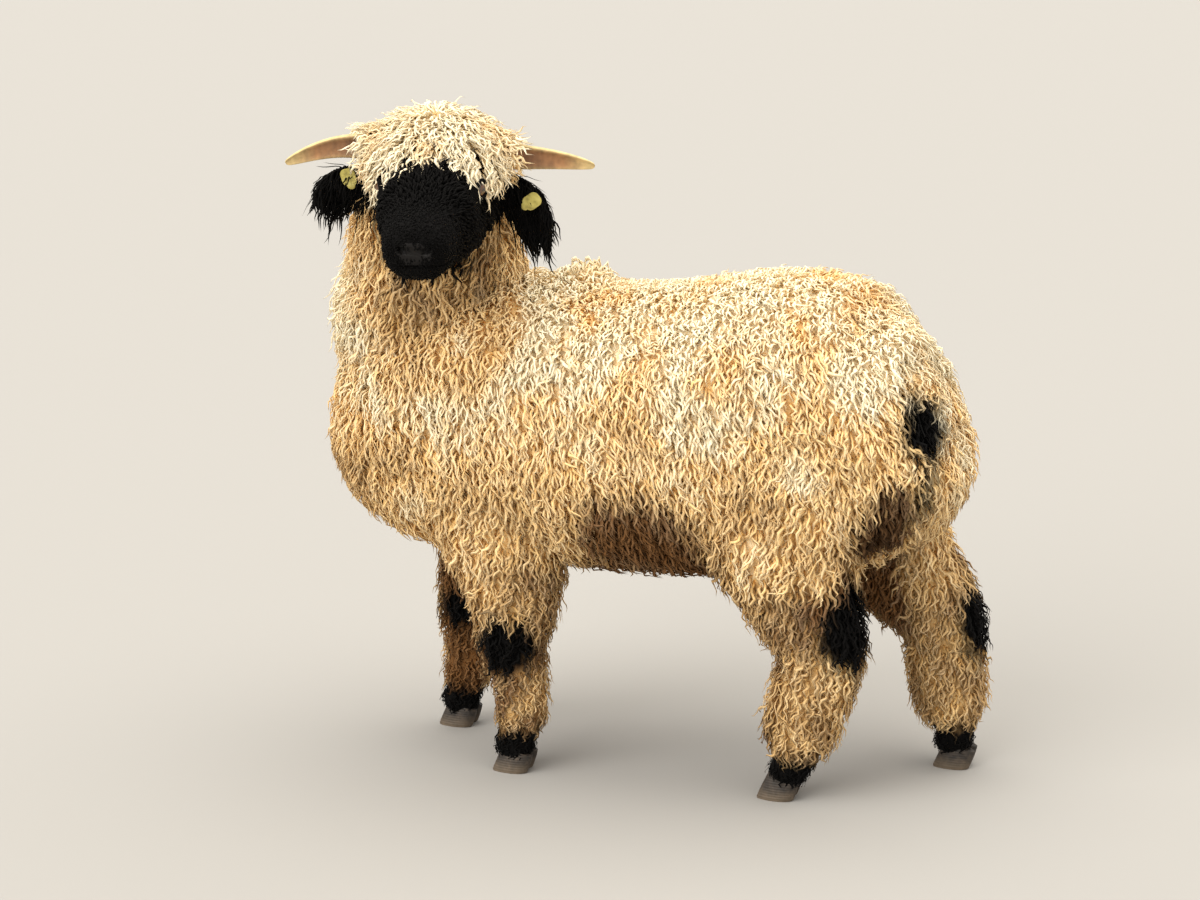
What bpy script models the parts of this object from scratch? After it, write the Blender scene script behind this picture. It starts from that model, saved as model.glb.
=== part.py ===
"""Valais blacknose sheep: a still, life-size model that stands square and looks to its left.

Metres, +Z up, floor at z = 0. The sheep heads along -X, and its left side faces -Y.
The flesh is modelled whole, as lofts through named sections, with its fleece as rounded clumps
that stand on a core, and is then parted with thin cuts into head, neck, torso, tail and legs.
"""
import math
import random

import bmesh
import bpy
from mathutils import Matrix, Vector
from mathutils.bvhtree import BVHTree

# Driving dimensions
GAP = 0.0003
GROWN = 0.0005
FLEECE_CORE = 0.45
SECTION_POWER = 2.3
SEED = 651
FLAT_ANGLES = (math.radians(1.0), math.radians(0.2), 0.0)
STEP = 0.01

FLEECE_BODY = 0.065
FLEECE_NECK = 0.062
FACE_FUR = 0.007

HEAD_BACK = Vector((-0.264, -0.130, 0.950))
HEAD_AZIMUTH = 10.5
HEAD_PITCH = 20.0
HEAD_LENGTH = 0.268

EYE_PLACE = (0.100, 0.0680, 0.022)
EYE_RADIUS = 0.0150
HORN_ROOT = (0.020, 0.046, 0.036)
EAR_ROOT = (0.022, 0.072)
# Lift of the root, reach to the side and droop of the left (+1) and right (-1) ear
EARS = {1: (-0.010, 0.078, 0.080), -1: (-0.002, 0.106, 0.036)}
EAR_LOCKS = 4

# Each foot's place on the floor, and where its leg stands above it
FEET = {
    "fore_left": (-0.150, -0.100),
    "fore_right": (-0.310, 0.100),
    "hind_left": (0.282, -0.112),
    "hind_right": (0.520, 0.112),
}
SHOULDER_X = -0.200
HIP_X = 0.370
FORE_PIVOT = 0.56
HIND_PIVOT = 0.64
CLAW_HEIGHT = 0.042
CLAW_LENGTH = 0.058
CLAW_WIDTH = 0.024
CLAW_SPREAD = 0.0140

# Sections of the flesh: x, y, z, side azimuth, half width, upper and lower reach, fleece depth
TORSO = (
    (0.428, -0.050, 0.600, 270, 0.066, 0.092, 0.094, FLEECE_BODY),
    (0.402, -0.040, 0.590, 270, 0.104, 0.138, 0.140, FLEECE_BODY),
    (0.340, -0.018, 0.580, 270, 0.130, 0.153, 0.165, FLEECE_BODY),
    (0.250, 0.0, 0.575, 270, 0.142, 0.162, 0.175, FLEECE_BODY),
    (0.130, 0.0, 0.565, 270, 0.152, 0.152, 0.175, FLEECE_BODY),
    (0.000, 0.0, 0.555, 270, 0.157, 0.152, 0.165, FLEECE_BODY),
    (-0.120, 0.0, 0.555, 270, 0.150, 0.158, 0.160, FLEECE_BODY),
    (-0.220, 0.0, 0.560, 270, 0.137, 0.160, 0.158, FLEECE_BODY),
    (-0.312, 0.0, 0.565, 270, 0.122, 0.145, 0.150, FLEECE_BODY),
    (-0.372, 0.0, 0.570, 270, 0.100, 0.120, 0.128, FLEECE_BODY),
    (-0.406, 0.0, 0.575, 270, 0.056, 0.070, 0.080, FLEECE_BODY),
)
NECK = (
    (-0.205, 0.000, 0.600, 270, 0.095, 0.085, 0.140, FLEECE_NECK),
    (-0.296, -0.008, 0.700, 278, 0.083, 0.068, 0.118, FLEECE_NECK),
    (-0.302, -0.028, 0.790, 300, 0.067, 0.066, 0.086, FLEECE_NECK),
    (-0.298, -0.060, 0.870, 332, 0.066, 0.062, 0.072, 0.052),
    (-0.278, -0.100, 0.932, 360, 0.060, 0.050, 0.062, 0.042),
)
# Head sections: distance from the back of the skull, lift, half width, upper and lower reach, fur
HEAD = (
    (-0.010, -0.005, 0.034, 0.028, 0.036, 0.020),
    (0.012, -0.004, 0.058, 0.048, 0.064, 0.020),
    (0.055, 0.000, 0.075, 0.060, 0.086, 0.018),
    (0.100, 0.000, 0.072, 0.058, 0.088, 0.009),
    (0.145, -0.002, 0.065, 0.050, 0.076, 0.009),
    (0.185, -0.003, 0.051, 0.042, 0.060, FACE_FUR),
    (0.220, -0.003, 0.050, 0.040, 0.054, FACE_FUR),
    (0.245, -0.003, 0.047, 0.036, 0.047, FACE_FUR),
    (0.260, -0.003, 0.038, 0.028, 0.036, FACE_FUR),
    (HEAD_LENGTH, -0.003, 0.021, 0.016, 0.020, FACE_FUR),
)
# Topknot: place along the head and lift, radii of the skull under it, fleece depth, and rings of
# clumps as angle from the crown and number
TOPKNOT_PLACE = (0.020, 0.016)
TOPKNOT_RADII = (0.058, 0.064, 0.042)
TOPKNOT_DEPTH = 0.048
TOPKNOT_RINGS = ((0.32, 3), (1.02, 6), (1.60, 7))
# Leg sections: offsets from the foot along x and towards the flank, height, half width,
# front and rear reach, fleece depth
FORE_LEG = (
    (-0.045, -0.015, 0.500, 0.055, 0.070, 0.070, 0.045),
    (-0.015, -0.008, 0.420, 0.048, 0.060, 0.062, 0.042),
    (0.000, -0.004, 0.340, 0.036, 0.048, 0.048, 0.038),
    (0.002, 0.000, 0.270, 0.028, 0.034, 0.033, 0.034),
    (-0.004, 0.000, 0.215, 0.027, 0.031, 0.026, 0.026),
    (0.000, 0.000, 0.150, 0.019, 0.018, 0.020, 0.024),
    (0.000, 0.000, 0.100, 0.022, 0.021, 0.024, 0.018),
    (-0.006, 0.000, 0.066, 0.021, 0.021, 0.021, 0.010),
    (-0.010, 0.000, 0.040, 0.025, 0.027, 0.024, 0.004),
    (-0.012, 0.000, 0.024, 0.020, 0.021, 0.018, 0.001),
)
HIND_LEG = (
    (-0.080, -0.030, 0.560, 0.070, 0.120, 0.110, 0.050),
    (-0.076, -0.012, 0.440, 0.058, 0.088, 0.080, 0.046),
    (-0.036, -0.004, 0.345, 0.042, 0.058, 0.052, 0.040),
    (0.006, 0.000, 0.272, 0.029, 0.038, 0.036, 0.036),
    (0.018, 0.000, 0.230, 0.027, 0.033, 0.032, 0.033),
    (0.010, 0.000, 0.160, 0.021, 0.026, 0.023, 0.036),
    (0.004, 0.000, 0.105, 0.024, 0.027, 0.025, 0.028),
    (0.002, 0.000, 0.068, 0.021, 0.021, 0.021, 0.012),
    (-0.004, 0.000, 0.040, 0.025, 0.027, 0.024, 0.004),
    (-0.008, 0.000, 0.024, 0.020, 0.021, 0.018, 0.001),
)
# Tail: short and docked, with its wool lying against the rump
TAIL = (
    (0.424, -0.046, 0.665, 251, 0.022, 0.020, 0.020, 0.020),
    (0.452, -0.056, 0.635, 251, 0.026, 0.018, 0.018, 0.024),
    (0.472, -0.064, 0.585, 251, 0.026, 0.014, 0.014, 0.024),
    (0.474, -0.068, 0.530, 251, 0.022, 0.010, 0.010, 0.022),
    (0.467, -0.070, 0.490, 251, 0.010, 0.006, 0.006, 0.018),
)

BLACK = "231f1d"
CREAM = "e6cfa0"
COLOURS = {
    "fleece": (CREAM, 0.95),
    "face": (BLACK, 0.9),
    "horn": ("c79f6b", 0.45),
    "eye": ("2a1a10", 0.1),
    "hoof": ("2c2620", 0.5),
    "tag": ("b9a23a", 0.4),
}


def linear(hex_colour):
    """sRGB hex to linear red, green and blue."""
    values = [int(hex_colour[i:i + 2], 16) / 255 for i in (0, 2, 4)]
    return [v / 12.92 if v <= 0.04045 else ((v + 0.055) / 1.055) ** 2.4 for v in values]


def material(name):
    """Principled material for one finish."""
    if name in bpy.data.materials:
        return bpy.data.materials[name]
    colour, roughness = COLOURS[name]
    made = bpy.data.materials.new(name)
    made.use_nodes = True
    shader = made.node_tree.nodes["Principled BSDF"]
    shader.inputs["Base Color"].default_value = (*linear(colour), 1.0)
    shader.inputs["Roughness"].default_value = roughness
    shader.inputs["Metallic"].default_value = 0.0
    return made


def blend_rows(rows, t):
    """Catmull-Rom blend of rows of numbers; whole values of t are the rows themselves."""
    last = len(rows) - 1
    i = max(0, min(int(t), last - 1))
    f = t - i
    around = (rows[max(0, min(last, k))] for k in (i - 1, i, i + 1, i + 2))
    return [
        0.5 * (2 * q + (r - p) * f + (2 * p - 5 * q + 4 * r - s) * f * f + (3 * q - p - 3 * r + s) * f ** 3)
        for p, q, r, s in zip(*around)
    ]


class Form:
    """A body part as sections along a path that runs towards the head, or down a leg."""

    def __init__(self, rows, grow_start=False, grow_end=False):
        self.rows = rows
        self.last = len(rows) - 1
        self.grow_start = grow_start
        self.grow_end = grow_end

    def section(self, t, depth):
        """Centre, side and rise directions, half width, reaches; depth 0 is skin, 1 the tips."""
        row = blend_rows(self.rows, t)
        before = blend_rows(self.rows, max(0.0, t - STEP))
        after = blend_rows(self.rows, min(self.last, t + STEP))
        ahead = (Vector(after[:3]) - Vector(before[:3])).normalized()
        azimuth = math.radians(row[3])
        side = Vector((math.cos(azimuth), math.sin(azimuth), 0.0))
        side = (side - ahead * side.dot(ahead)).normalized()
        rise = ahead.cross(side)
        fleece = row[7] * depth
        centre = Vector(row[:3])
        to_start = max(0.0, 1.0 - t) if self.grow_start else 0.0
        to_end = max(0.0, t - self.last + 1.0) if self.grow_end else 0.0
        centre += ahead * fleece * (to_end - to_start)
        grown = fleece * (1.0 - 0.75 * max(to_start, to_end) ** 2)
        return centre, side, rise, row[4] + grown, row[5] + grown, row[6] + grown

    def point(self, t, angle, depth):
        """Point of the surface; angle 0 is the side and 90 degrees the rise."""
        centre, side, rise, half_width, up, down = self.section(t, depth)
        c = math.cos(angle)
        s = math.sin(angle)
        across = math.copysign(abs(c) ** (2 / SECTION_POWER), c) * half_width
        lift = math.copysign(abs(s) ** (2 / SECTION_POWER), s) * (up if s > 0 else down)
        return centre + side * across + rise * lift

    def normal(self, t, angle, depth):
        """Outward direction of the surface."""
        ahead = self.point(min(self.last, t + STEP), angle, depth)
        along = ahead - self.point(max(0, t - STEP), angle, depth)
        around = self.point(t, angle + STEP, depth) - self.point(t, angle - STEP, depth)
        out = around.cross(along).normalized()
        centre = self.section(t, depth)[0]
        return out if out.dot(self.point(t, angle, depth) - centre) > 0 else -out


def head_axes():
    """Facing, side (its left) and rise directions of the head."""
    azimuth = math.radians(HEAD_AZIMUTH)
    pitch = math.radians(HEAD_PITCH)
    side = Vector((math.cos(azimuth), math.sin(azimuth), 0.0))
    level = Vector((math.sin(azimuth), -math.cos(azimuth), 0.0))
    facing = level * math.cos(pitch) - Vector((0, 0, 1)) * math.sin(pitch)
    return facing, side, facing.cross(side)


FACING, HEAD_SIDE, HEAD_RISE = head_axes()


def on_head(along, across, lift):
    """World place of head coordinates: along the face, to its left, and up."""
    return HEAD_BACK + FACING * along + HEAD_SIDE * across + HEAD_RISE * lift


def head_rows():
    """Head sections in the world."""
    return tuple(
        (*on_head(along, 0.0, lift), HEAD_AZIMUTH, half_width, up, down, fur)
        for along, lift, half_width, up, down, fur in HEAD
    )


def head_time(along):
    """Place t of the head form at a distance from the back of the skull."""
    for i, (before, after) in enumerate(zip(HEAD, HEAD[1:])):
        if along <= after[0]:
            return i + (along - before[0]) / (after[0] - before[0])
    return len(HEAD) - 1


def leg_rows(name):
    """Leg sections in the world, over the foot of that name."""
    foot_x, foot_y = FEET[name]
    flank = math.copysign(1.0, foot_y)
    fore = name.startswith("fore")
    neutral = SHOULDER_X if fore else HIP_X
    made = []
    for x, y, z, half_width, front, rear, fleece in FORE_LEG if fore else HIND_LEG:
        swing = 1 - (z / FORE_PIVOT) ** 2 if fore else 1 - z / HIND_PIVOT
        place = neutral + (foot_x - neutral) * max(0.0, swing) + x
        made.append((place, foot_y + flank * y, z, 270, half_width, front, rear, fleece))
    return tuple(made)


FORMS = {
    "torso": Form(TORSO, grow_start=True, grow_end=True),
    "neck": Form(NECK),
    "head": Form(head_rows(), grow_start=True),
    "tail": Form(TAIL),
    **{f"leg_{name}": Form(leg_rows(name)) for name in FEET},
}


def new_object(name, mesh, collection):
    """Object that holds a mesh in a collection."""
    made = bpy.data.objects.new(name, mesh)
    collection.objects.link(made)
    return made


def closed_mesh(name, bm):
    """Mesh of a closed surface with its faces pointing out."""
    bmesh.ops.recalc_face_normals(bm, faces=bm.faces)
    bmesh.ops.triangulate(bm, faces=bm.faces)
    if bm.calc_volume(signed=True) < 0:
        bmesh.ops.reverse_faces(bm, faces=bm.faces)
    mesh = bpy.data.meshes.new(name)
    bm.to_mesh(mesh)
    bm.free()
    return mesh


def mesh_from_rings(name, rings, start_tip=None, end_tip=None):
    """Closed mesh through rings of equally many points, with flat or pointed ends."""
    bm = bmesh.new()
    made = [[bm.verts.new(p) for p in ring] for ring in rings]
    count = len(rings[0])
    for lower, upper in zip(made, made[1:]):
        for i in range(count):
            j = (i + 1) % count
            bm.faces.new((lower[i], lower[j], upper[j], upper[i]))
    for ring, tip in ((made[0], start_tip), (made[-1], end_tip)):
        if tip is None:
            bm.faces.new(ring)
            continue
        point = bm.verts.new(tip)
        for i in range(count):
            bm.faces.new((ring[i], ring[(i + 1) % count], point))
    return closed_mesh(name, bm)


def loft(name, form, depth, steps, sides):
    """Mesh of a form at a depth of its fleece."""
    rings = []
    for i in range(steps + 1):
        t = form.last * i / steps
        rings.append([form.point(t, 2 * math.pi * k / sides, depth) for k in range(sides)])
    return mesh_from_rings(name, rings)


def tube(name, points, radii, sides=8, flat=1.0, side=None):
    """Closed tube of changing radius; flat squeezes its section across the given side."""
    rings = []
    for i, point in enumerate(points):
        ahead = (points[min(i + 1, len(points) - 1)] - points[max(i - 1, 0)]).normalized()
        if side is None:
            side = ahead.orthogonal().normalized()
        side = (side - ahead * side.dot(ahead)).normalized()
        rise = ahead.cross(side)
        ring = []
        for k in range(sides):
            angle = 2 * math.pi * k / sides
            offset = side * math.cos(angle) + rise * flat * math.sin(angle)
            ring.append(point + offset * radii[i])
        rings.append(ring)
    return mesh_from_rings(name, rings)


def ball(name, centre, radii, axes=None, subdivisions=2):
    """Ellipsoid from an icosphere; axes are its three directions."""
    bm = bmesh.new()
    bmesh.ops.create_icosphere(bm, subdivisions=subdivisions, radius=1.0)
    x, y, z = axes or (FACING, HEAD_SIDE, HEAD_RISE)
    for vertex in bm.verts:
        local = [vertex.co[i] * radii[i] for i in range(3)]
        vertex.co = centre + x * local[0] + y * local[1] + z * local[2]
    return closed_mesh(name, bm)


def block(name, low, high, axes=None, origin=None):
    """Box between two corners, along its own axes from an origin where these are given."""
    bm = bmesh.new()
    bmesh.ops.create_cube(bm, size=1.0)
    low = Vector(low)
    high = Vector(high)
    for vertex in bm.verts:
        vertex.co = Vector((low[i] + (vertex.co[i] + 0.5) * (high[i] - low[i]) for i in range(3)))
        if axes:
            x, y, z = axes
            vertex.co = origin + x * vertex.co.x + y * vertex.co.y + z * vertex.co.z
    return closed_mesh(name, bm)


def apply_boolean(base, others, operation):
    """Joins or cuts an object by meshes, which are used up; returns the object."""
    collection = bpy.data.collections.new("operands")
    bpy.context.scene.collection.children.link(collection)
    for i, mesh in enumerate(others):
        new_object(f"operand_{i}", mesh, collection)
    modifier = base.modifiers.new("boolean", "BOOLEAN")
    modifier.operation = operation
    modifier.operand_type = "COLLECTION"
    modifier.collection = collection
    modifier.solver = "MANIFOLD"
    evaluated = base.evaluated_get(bpy.context.evaluated_depsgraph_get())
    result = bpy.data.meshes.new_from_object(evaluated)
    base.modifiers.remove(modifier)
    base.data = result
    for used in list(collection.objects):
        bpy.data.objects.remove(used)
    bpy.data.collections.remove(collection)
    return base


def joined(name, meshes, collection):
    """One object from the union of several closed meshes."""
    base = new_object(name, meshes[0], collection)
    return apply_boolean(base, meshes[1:], "UNION") if len(meshes) > 1 else base


def thin_out(target, share):
    """Collapses the slivers that a union leaves, down to a share of the faces."""
    modifier = target.modifiers.new("thin_out", "DECIMATE")
    modifier.ratio = share
    evaluated = target.evaluated_get(bpy.context.evaluated_depsgraph_get())
    result = bpy.data.meshes.new_from_object(evaluated)
    target.modifiers.remove(modifier)
    target.data = result


def merge_flat_faces(target):
    """Merges the coplanar scraps that a union leaves, as far as the surface stays closed."""
    for angle in FLAT_ANGLES:
        for way in ("BEAUTY", "EAR_CLIP"):
            bm = bmesh.new()
            bm.from_mesh(target.data)
            if angle:
                bmesh.ops.dissolve_limit(bm, angle_limit=angle, verts=bm.verts, edges=bm.edges)
            bmesh.ops.triangulate(bm, faces=bm.faces, ngon_method=way)
            closed = all(len(edge.link_faces) == 2 for edge in bm.edges)
            if closed:
                bm.to_mesh(target.data)
            bm.free()
            if closed:
                return


def cut(base, meshes):
    """Object with each mesh cut away in turn."""
    for mesh in meshes:
        apply_boolean(base, [mesh], "DIFFERENCE")
    return base


def grown_copy(mesh, distance=GROWN):
    """Copy of a mesh with its surface moved out, which cuts a neighbour clear of it."""
    bm = bmesh.new()
    bm.from_mesh(mesh)
    bmesh.ops.recalc_face_normals(bm, faces=bm.faces)
    bm.normal_update()
    moves = [(vertex, vertex.normal * distance * vertex.calc_shell_factor()) for vertex in bm.verts]
    for vertex, move in moves:
        vertex.co += move
    grown = bpy.data.meshes.new(mesh.name + "_grown")
    bm.to_mesh(grown)
    bm.free()
    return grown


def keep_largest(target):
    """Keeps only the largest closed surface of an object."""
    bm = bmesh.new()
    bm.from_mesh(target.data)
    left = set(bm.faces)
    islands = []
    while left:
        island = set()
        waiting = [left.pop()]
        while waiting:
            face = waiting.pop()
            island.add(face)
            for edge in face.edges:
                for other in edge.link_faces:
                    if other in left:
                        left.remove(other)
                        waiting.append(other)
        islands.append(island)
    islands.sort(key=lambda faces: sum(face.calc_area() for face in faces))
    loose = [face for island in islands[:-1] for face in island]
    bmesh.ops.delete(bm, geom=loose, context="FACES")
    bm.to_mesh(target.data)
    bm.free()
    return target


def body_cores():
    """Lofts of torso, neck, legs and tail at the core's depth; the tail goes out to its tips."""
    meshes = [
        loft("torso_core", FORMS["torso"], FLEECE_CORE, 14, 16),
        loft("neck_core", FORMS["neck"], FLEECE_CORE, 6, 12),
        loft("tail_core", FORMS["tail"], 1.0, 6, 8),
    ]
    for name in FEET:
        meshes.append(loft(f"leg_core_{name}", FORMS[f"leg_{name}"], FLEECE_CORE, 12, 10))
    return meshes


def head_core():
    """Skull, cheeks, brows, lips and lids, with the core of the topknot."""
    meshes = [loft("head_core", FORMS["head"], 1.0, 16, 16)]
    for sign in (-1, 1):
        meshes.append(ball("cheek", on_head(0.075, sign * 0.046, -0.030), (0.050, 0.028, 0.046)))
        meshes.append(ball("brow", on_head(0.080, sign * 0.046, 0.042), (0.030, 0.024, 0.016)))
        meshes.append(ball("upper_lip", on_head(0.246, sign * 0.022, -0.006), (0.024, 0.024, 0.017)))
        meshes.append(lids(sign))
    meshes.append(ball("lower_lip", on_head(0.238, 0.0, -0.036), (0.028, 0.027, 0.015)))
    reach = TOPKNOT_DEPTH * FLEECE_CORE
    radii = [radius + reach for radius in TOPKNOT_RADII]
    meshes.append(ball("topknot_core", on_head(TOPKNOT_PLACE[0], 0.0, TOPKNOT_PLACE[1]), radii))
    return meshes


def eye_centre(sign):
    """Centre of the left (+1) or right (-1) eye."""
    along, across, lift = EYE_PLACE
    return on_head(along, sign * across, lift)


def eye_out(sign):
    """Direction in which an eye looks."""
    return (HEAD_SIDE * sign + FACING * 0.38 + HEAD_RISE * 0.10).normalized()


def lids(sign):
    """Almond-shaped rim of the lids round one eye."""
    out = eye_out(sign)
    along = (FACING - out * FACING.dot(out)).normalized()
    up = out.cross(along) * sign
    centre = eye_centre(sign) + out * EYE_RADIUS * 0.62
    count = 12
    points = []
    for k in range(count):
        angle = 2 * math.pi * k / count
        points.append((math.cos(angle), math.sin(angle)))
    rings = []
    for c, s in points:
        middle = centre + along * c * 0.0165 + up * s * abs(s) ** 0.3 * 0.0125
        outward = (along * c + up * s).normalized()
        thick = 0.0048 if s > 0 else 0.0040
        ring = []
        for k in range(5):
            angle = 2 * math.pi * k / 5
            ring.append(middle + outward * thick * math.cos(angle) + out * thick * math.sin(angle))
        rings.append(ring)
    bm = bmesh.new()
    made = [[bm.verts.new(p) for p in ring] for ring in rings]
    for i in range(count):
        lower, upper = made[i], made[(i + 1) % count]
        for k in range(5):
            bm.faces.new((lower[k], lower[(k + 1) % 5], upper[(k + 1) % 5], upper[k]))
    return closed_mesh("lids", bm)


def eye(sign):
    """Eyeball of the left (+1) or right (-1) side."""
    return ball("eye", eye_centre(sign), (EYE_RADIUS,) * 3)


def mouth_groove():
    """Cutter along the line of the mouth, from one corner round the lips to the other."""
    form = FORMS["head"]
    lift = -0.021
    left = []
    for along in (0.188, 0.206, 0.224, 0.240, 0.252, 0.262, 0.267):
        t = head_time(along)
        centre, side, rise, half_width, up, down = form.section(t, 1.0)
        drop = (lift - 0.010 * (0.268 - along) / 0.08 + 0.003) / down
        spread = (1 - min(1.0, abs(drop)) ** SECTION_POWER) ** (1 / SECTION_POWER)
        left.append((centre + rise * drop * down, side * half_width * spread))
    points = [centre + side for centre, side in left]
    points += [centre - side for centre, side in reversed(left)]
    radii = [0.0015] + [0.0030] * (len(points) - 2) + [0.0015]
    return tube("mouth", points, radii, sides=6)


def nostril(sign):
    """Comma-shaped cutter of one nostril."""
    points = []
    for k in range(5):
        f = k / 4
        across = sign * (0.012 + 0.018 * f)
        lift = 0.001 + 0.015 * f - 0.006 * f * f
        points.append(on_head(0.2735 - 0.016 * f, across, lift))
    return tube("nostril", points, (0.0040, 0.0050, 0.0045, 0.0035, 0.0018), sides=7)


def philtrum():
    """Cutter of the cleft between nose and upper lip."""
    points = [on_head(0.2775, 0.0, lift) for lift in (0.008, -0.004, -0.016)]
    return tube("philtrum", points, (0.0030, 0.0034, 0.0030), sides=6)


def horn(sign):
    """Horn that grows out to the side and droops a little to its tip."""
    root = on_head(HORN_ROOT[0], sign * HORN_ROOT[1], HORN_ROOT[2])
    out = HEAD_SIDE * sign
    points = []
    radii = []
    count = 9
    for k in range(count + 1):
        f = k / count
        side = 0.190 * f
        rise = (-0.004 if sign > 0 else 0.012) * math.sin(math.pi * f) - 0.020 * f * f
        back = -0.030 * math.sin(0.5 * math.pi * f) + 0.018 * f * f
        points.append(root + out * side + HEAD_RISE * rise + FACING * back)
        radii.append(0.0235 * (1 - f) ** 0.50 + 0.0020)
    return tube("horn", points, radii, sides=9, flat=0.62, side=HEAD_RISE)


def ear_path(sign, f):
    """Middle line of an ear: out to the side, then drooping to the tip."""
    lift, reach, droop = EARS[sign]
    root = on_head(EAR_ROOT[0], sign * EAR_ROOT[1], lift)
    side = reach * math.sin(0.5 * math.pi * f * 0.92)
    down = Vector((0, 0, -1)) * droop * f * f
    return root + HEAD_SIDE * sign * side + down - FACING * 0.012 * f


def ear(sign):
    """Leaf of the ear, hollowed to a cup that opens forward and down."""
    rings = []
    steps = 7
    arc = 4
    for i in range(steps + 1):
        f = i / steps
        centre = ear_path(sign, f)
        ahead = (ear_path(sign, min(1, f + STEP)) - ear_path(sign, max(0, f - STEP))).normalized()
        front = (FACING - ahead * FACING.dot(ahead)).normalized()
        up = ahead.cross(front).normalized()
        width = 0.012 + 0.014 * math.sin(math.pi * min(1.0, f * 0.85 + 0.12)) ** 0.8
        width *= 1.0 if f < 0.98 else 0.45
        hollow = 0.010 * math.sin(math.pi * (0.15 + 0.7 * f))
        thick = 0.0050 - 0.0015 * f
        ring = []
        for k in range(arc + 1):
            g = 2 * k / arc - 1
            depth = hollow * (1 - g * g) + thick * (1 - g * g * 0.6)
            ring.append(centre + up * width * g - front * depth)
        for k in range(arc + 1):
            g = 1 - 2 * k / arc
            depth = (hollow - thick * 0.4) * (1 - g * g)
            ring.append(centre + up * width * g * 0.96 - front * depth)
        rings.append(ring)
    return mesh_from_rings("ear", rings)


def ear_locks(sign):
    """Locks of black hair that hang from the ear, with one long thin strand."""
    rng = random.Random(SEED + 10 + sign)
    meshes = []
    for i in range(EAR_LOCKS):
        f = 0.18 + 0.78 * i / (EAR_LOCKS - 1)
        start = ear_path(sign, f) + HEAD_RISE * 0.004
        length = rng.uniform(0.050, 0.068)
        sway = HEAD_SIDE * rng.uniform(-0.006, 0.006) + FACING * rng.uniform(-0.004, 0.008)
        meshes.append(lock(start, Vector((0, 0, -1)), sway, length, 0.0125))
    strand = ear_path(sign, 0.55 if sign < 0 else 0.72)
    meshes.append(lock(strand, Vector((0, 0, -1)), HEAD_SIDE * 0.003, 0.105, 0.0055))
    return meshes


def lock(start, way, sway, length, radius):
    """One tapered lock that hangs from a point and bends by its sway."""
    points = []
    radii = []
    steps = 3
    for k in range(steps + 1):
        f = k / steps
        points.append(start + way * length * f + sway * math.sin(math.pi * f))
        radii.append(radius * (1 - 0.80 * f ** 1.6))
    return tube("lock", points, radii, sides=5, flat=0.6)


def tag(sign):
    """Bare ear tag: a plate in front, a pin through the ear and a button behind."""
    f = 0.62 if sign > 0 else 0.42
    centre = ear_path(sign, f)
    ahead = (ear_path(sign, f + STEP) - ear_path(sign, f - STEP)).normalized()
    front = (FACING - ahead * FACING.dot(ahead)).normalized()
    up = ahead.cross(front).normalized() * sign
    axes = (ahead * sign, up, front)
    face = centre + front * 0.012
    plate = block("plate", (-0.0095, -0.028, 0.0), (0.0095, 0.001, 0.0022), axes, face)
    head = tube("disc", [face - front * 0.0004, face + front * 0.0030], [0.0105, 0.0105], sides=10)
    pin = tube("pin", [face + front * 0.001, centre - front * 0.026], [0.0030, 0.0030], sides=8)
    button = tube("button", [centre - front * 0.0225, centre - front * 0.0265], [0.0100, 0.0085], sides=10)
    return [plate, head, pin, button]


def claw(name, sign):
    """One claw of a hoof: a flat sole, a sloping front wall and a rounded heel."""
    foot_x, foot_y = FEET[name]
    toe = foot_x - 0.012 - CLAW_LENGTH * 0.58
    middle = foot_y + sign * CLAW_SPREAD
    rings = []
    levels = ((0.0, 0.0, 1.0), (0.004, 0.0, 1.0), (0.5 * CLAW_HEIGHT, 0.5, 0.96), (CLAW_HEIGHT, 1.0, 0.84))
    count = 10
    for height, slope, scale in levels:
        ring = []
        for k in range(count):
            angle = 2 * math.pi * k / count
            c = math.cos(angle)
            s = math.sin(angle)
            point_x = toe + CLAW_LENGTH * 0.5 * (1 + c * scale) + 0.014 * slope
            narrow = 1.0 + 0.28 * c
            point_y = middle + 0.5 * CLAW_WIDTH * s * narrow * scale
            lowered = height - 0.012 * slope * (1 + c) / 2
            ring.append(Vector((point_x, point_y, lowered)))
        rings.append(ring)
    return mesh_from_rings("claw", rings)


def dewclaws(name):
    """Two small dewclaws behind the fetlock."""
    foot_x, foot_y = FEET[name]
    rear = 0.036 if name.startswith("fore") else 0.044
    height = 0.078
    meshes = []
    for sign in (-1, 1):
        start = Vector((foot_x + rear - 0.018, foot_y + sign * 0.012, height + 0.006))
        end = Vector((foot_x + rear, foot_y + sign * 0.013, height - 0.010))
        meshes.append(tube("dewclaw", [start, (start + end) / 2, end], [0.007, 0.0065, 0.003], sides=6))
    return meshes


# Rings of a clump: share of its height, shift along its lie as a share of its length, and size
CLUMP_SIDES = 6
CLUMP_SPACING = 1.0
CLUMP_OVERLAP = 1.16
END_CLUMP_SHARE = 1.5
KEPT_SHARE = 0.57
CLUMP_RINGS = ((-0.45, -0.06, 0.88), (0.55, 0.06, 1.00), (0.92, 0.22, 0.64))
CLUMP_TIP = (1.00, 0.34)


def clump(root, out, lie, height, length, width, rng):
    """Rounded clump of fleece: it swells out of the core and droops along its lie."""
    across = out.cross(lie).normalized()
    sway = across * rng.uniform(-0.25, 0.25) * width
    turn = rng.uniform(0, 2 * math.pi)

    def middle(lift, along):
        return root + out * height * lift + (lie * length + sway) * along

    rings = []
    for lift, along, share in CLUMP_RINGS:
        ring = []
        for k in range(CLUMP_SIDES):
            angle = 2 * math.pi * k / CLUMP_SIDES + turn
            offset = across * math.cos(angle) * 0.5 * width + lie * math.sin(angle) * 0.5 * length
            drop = out * height * 0.25 * math.sin(angle) * share
            ring.append(middle(lift, along) + offset * share - drop)
        rings.append(ring)
    return mesh_from_rings("clump", rings, end_tip=middle(*CLUMP_TIP))


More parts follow.
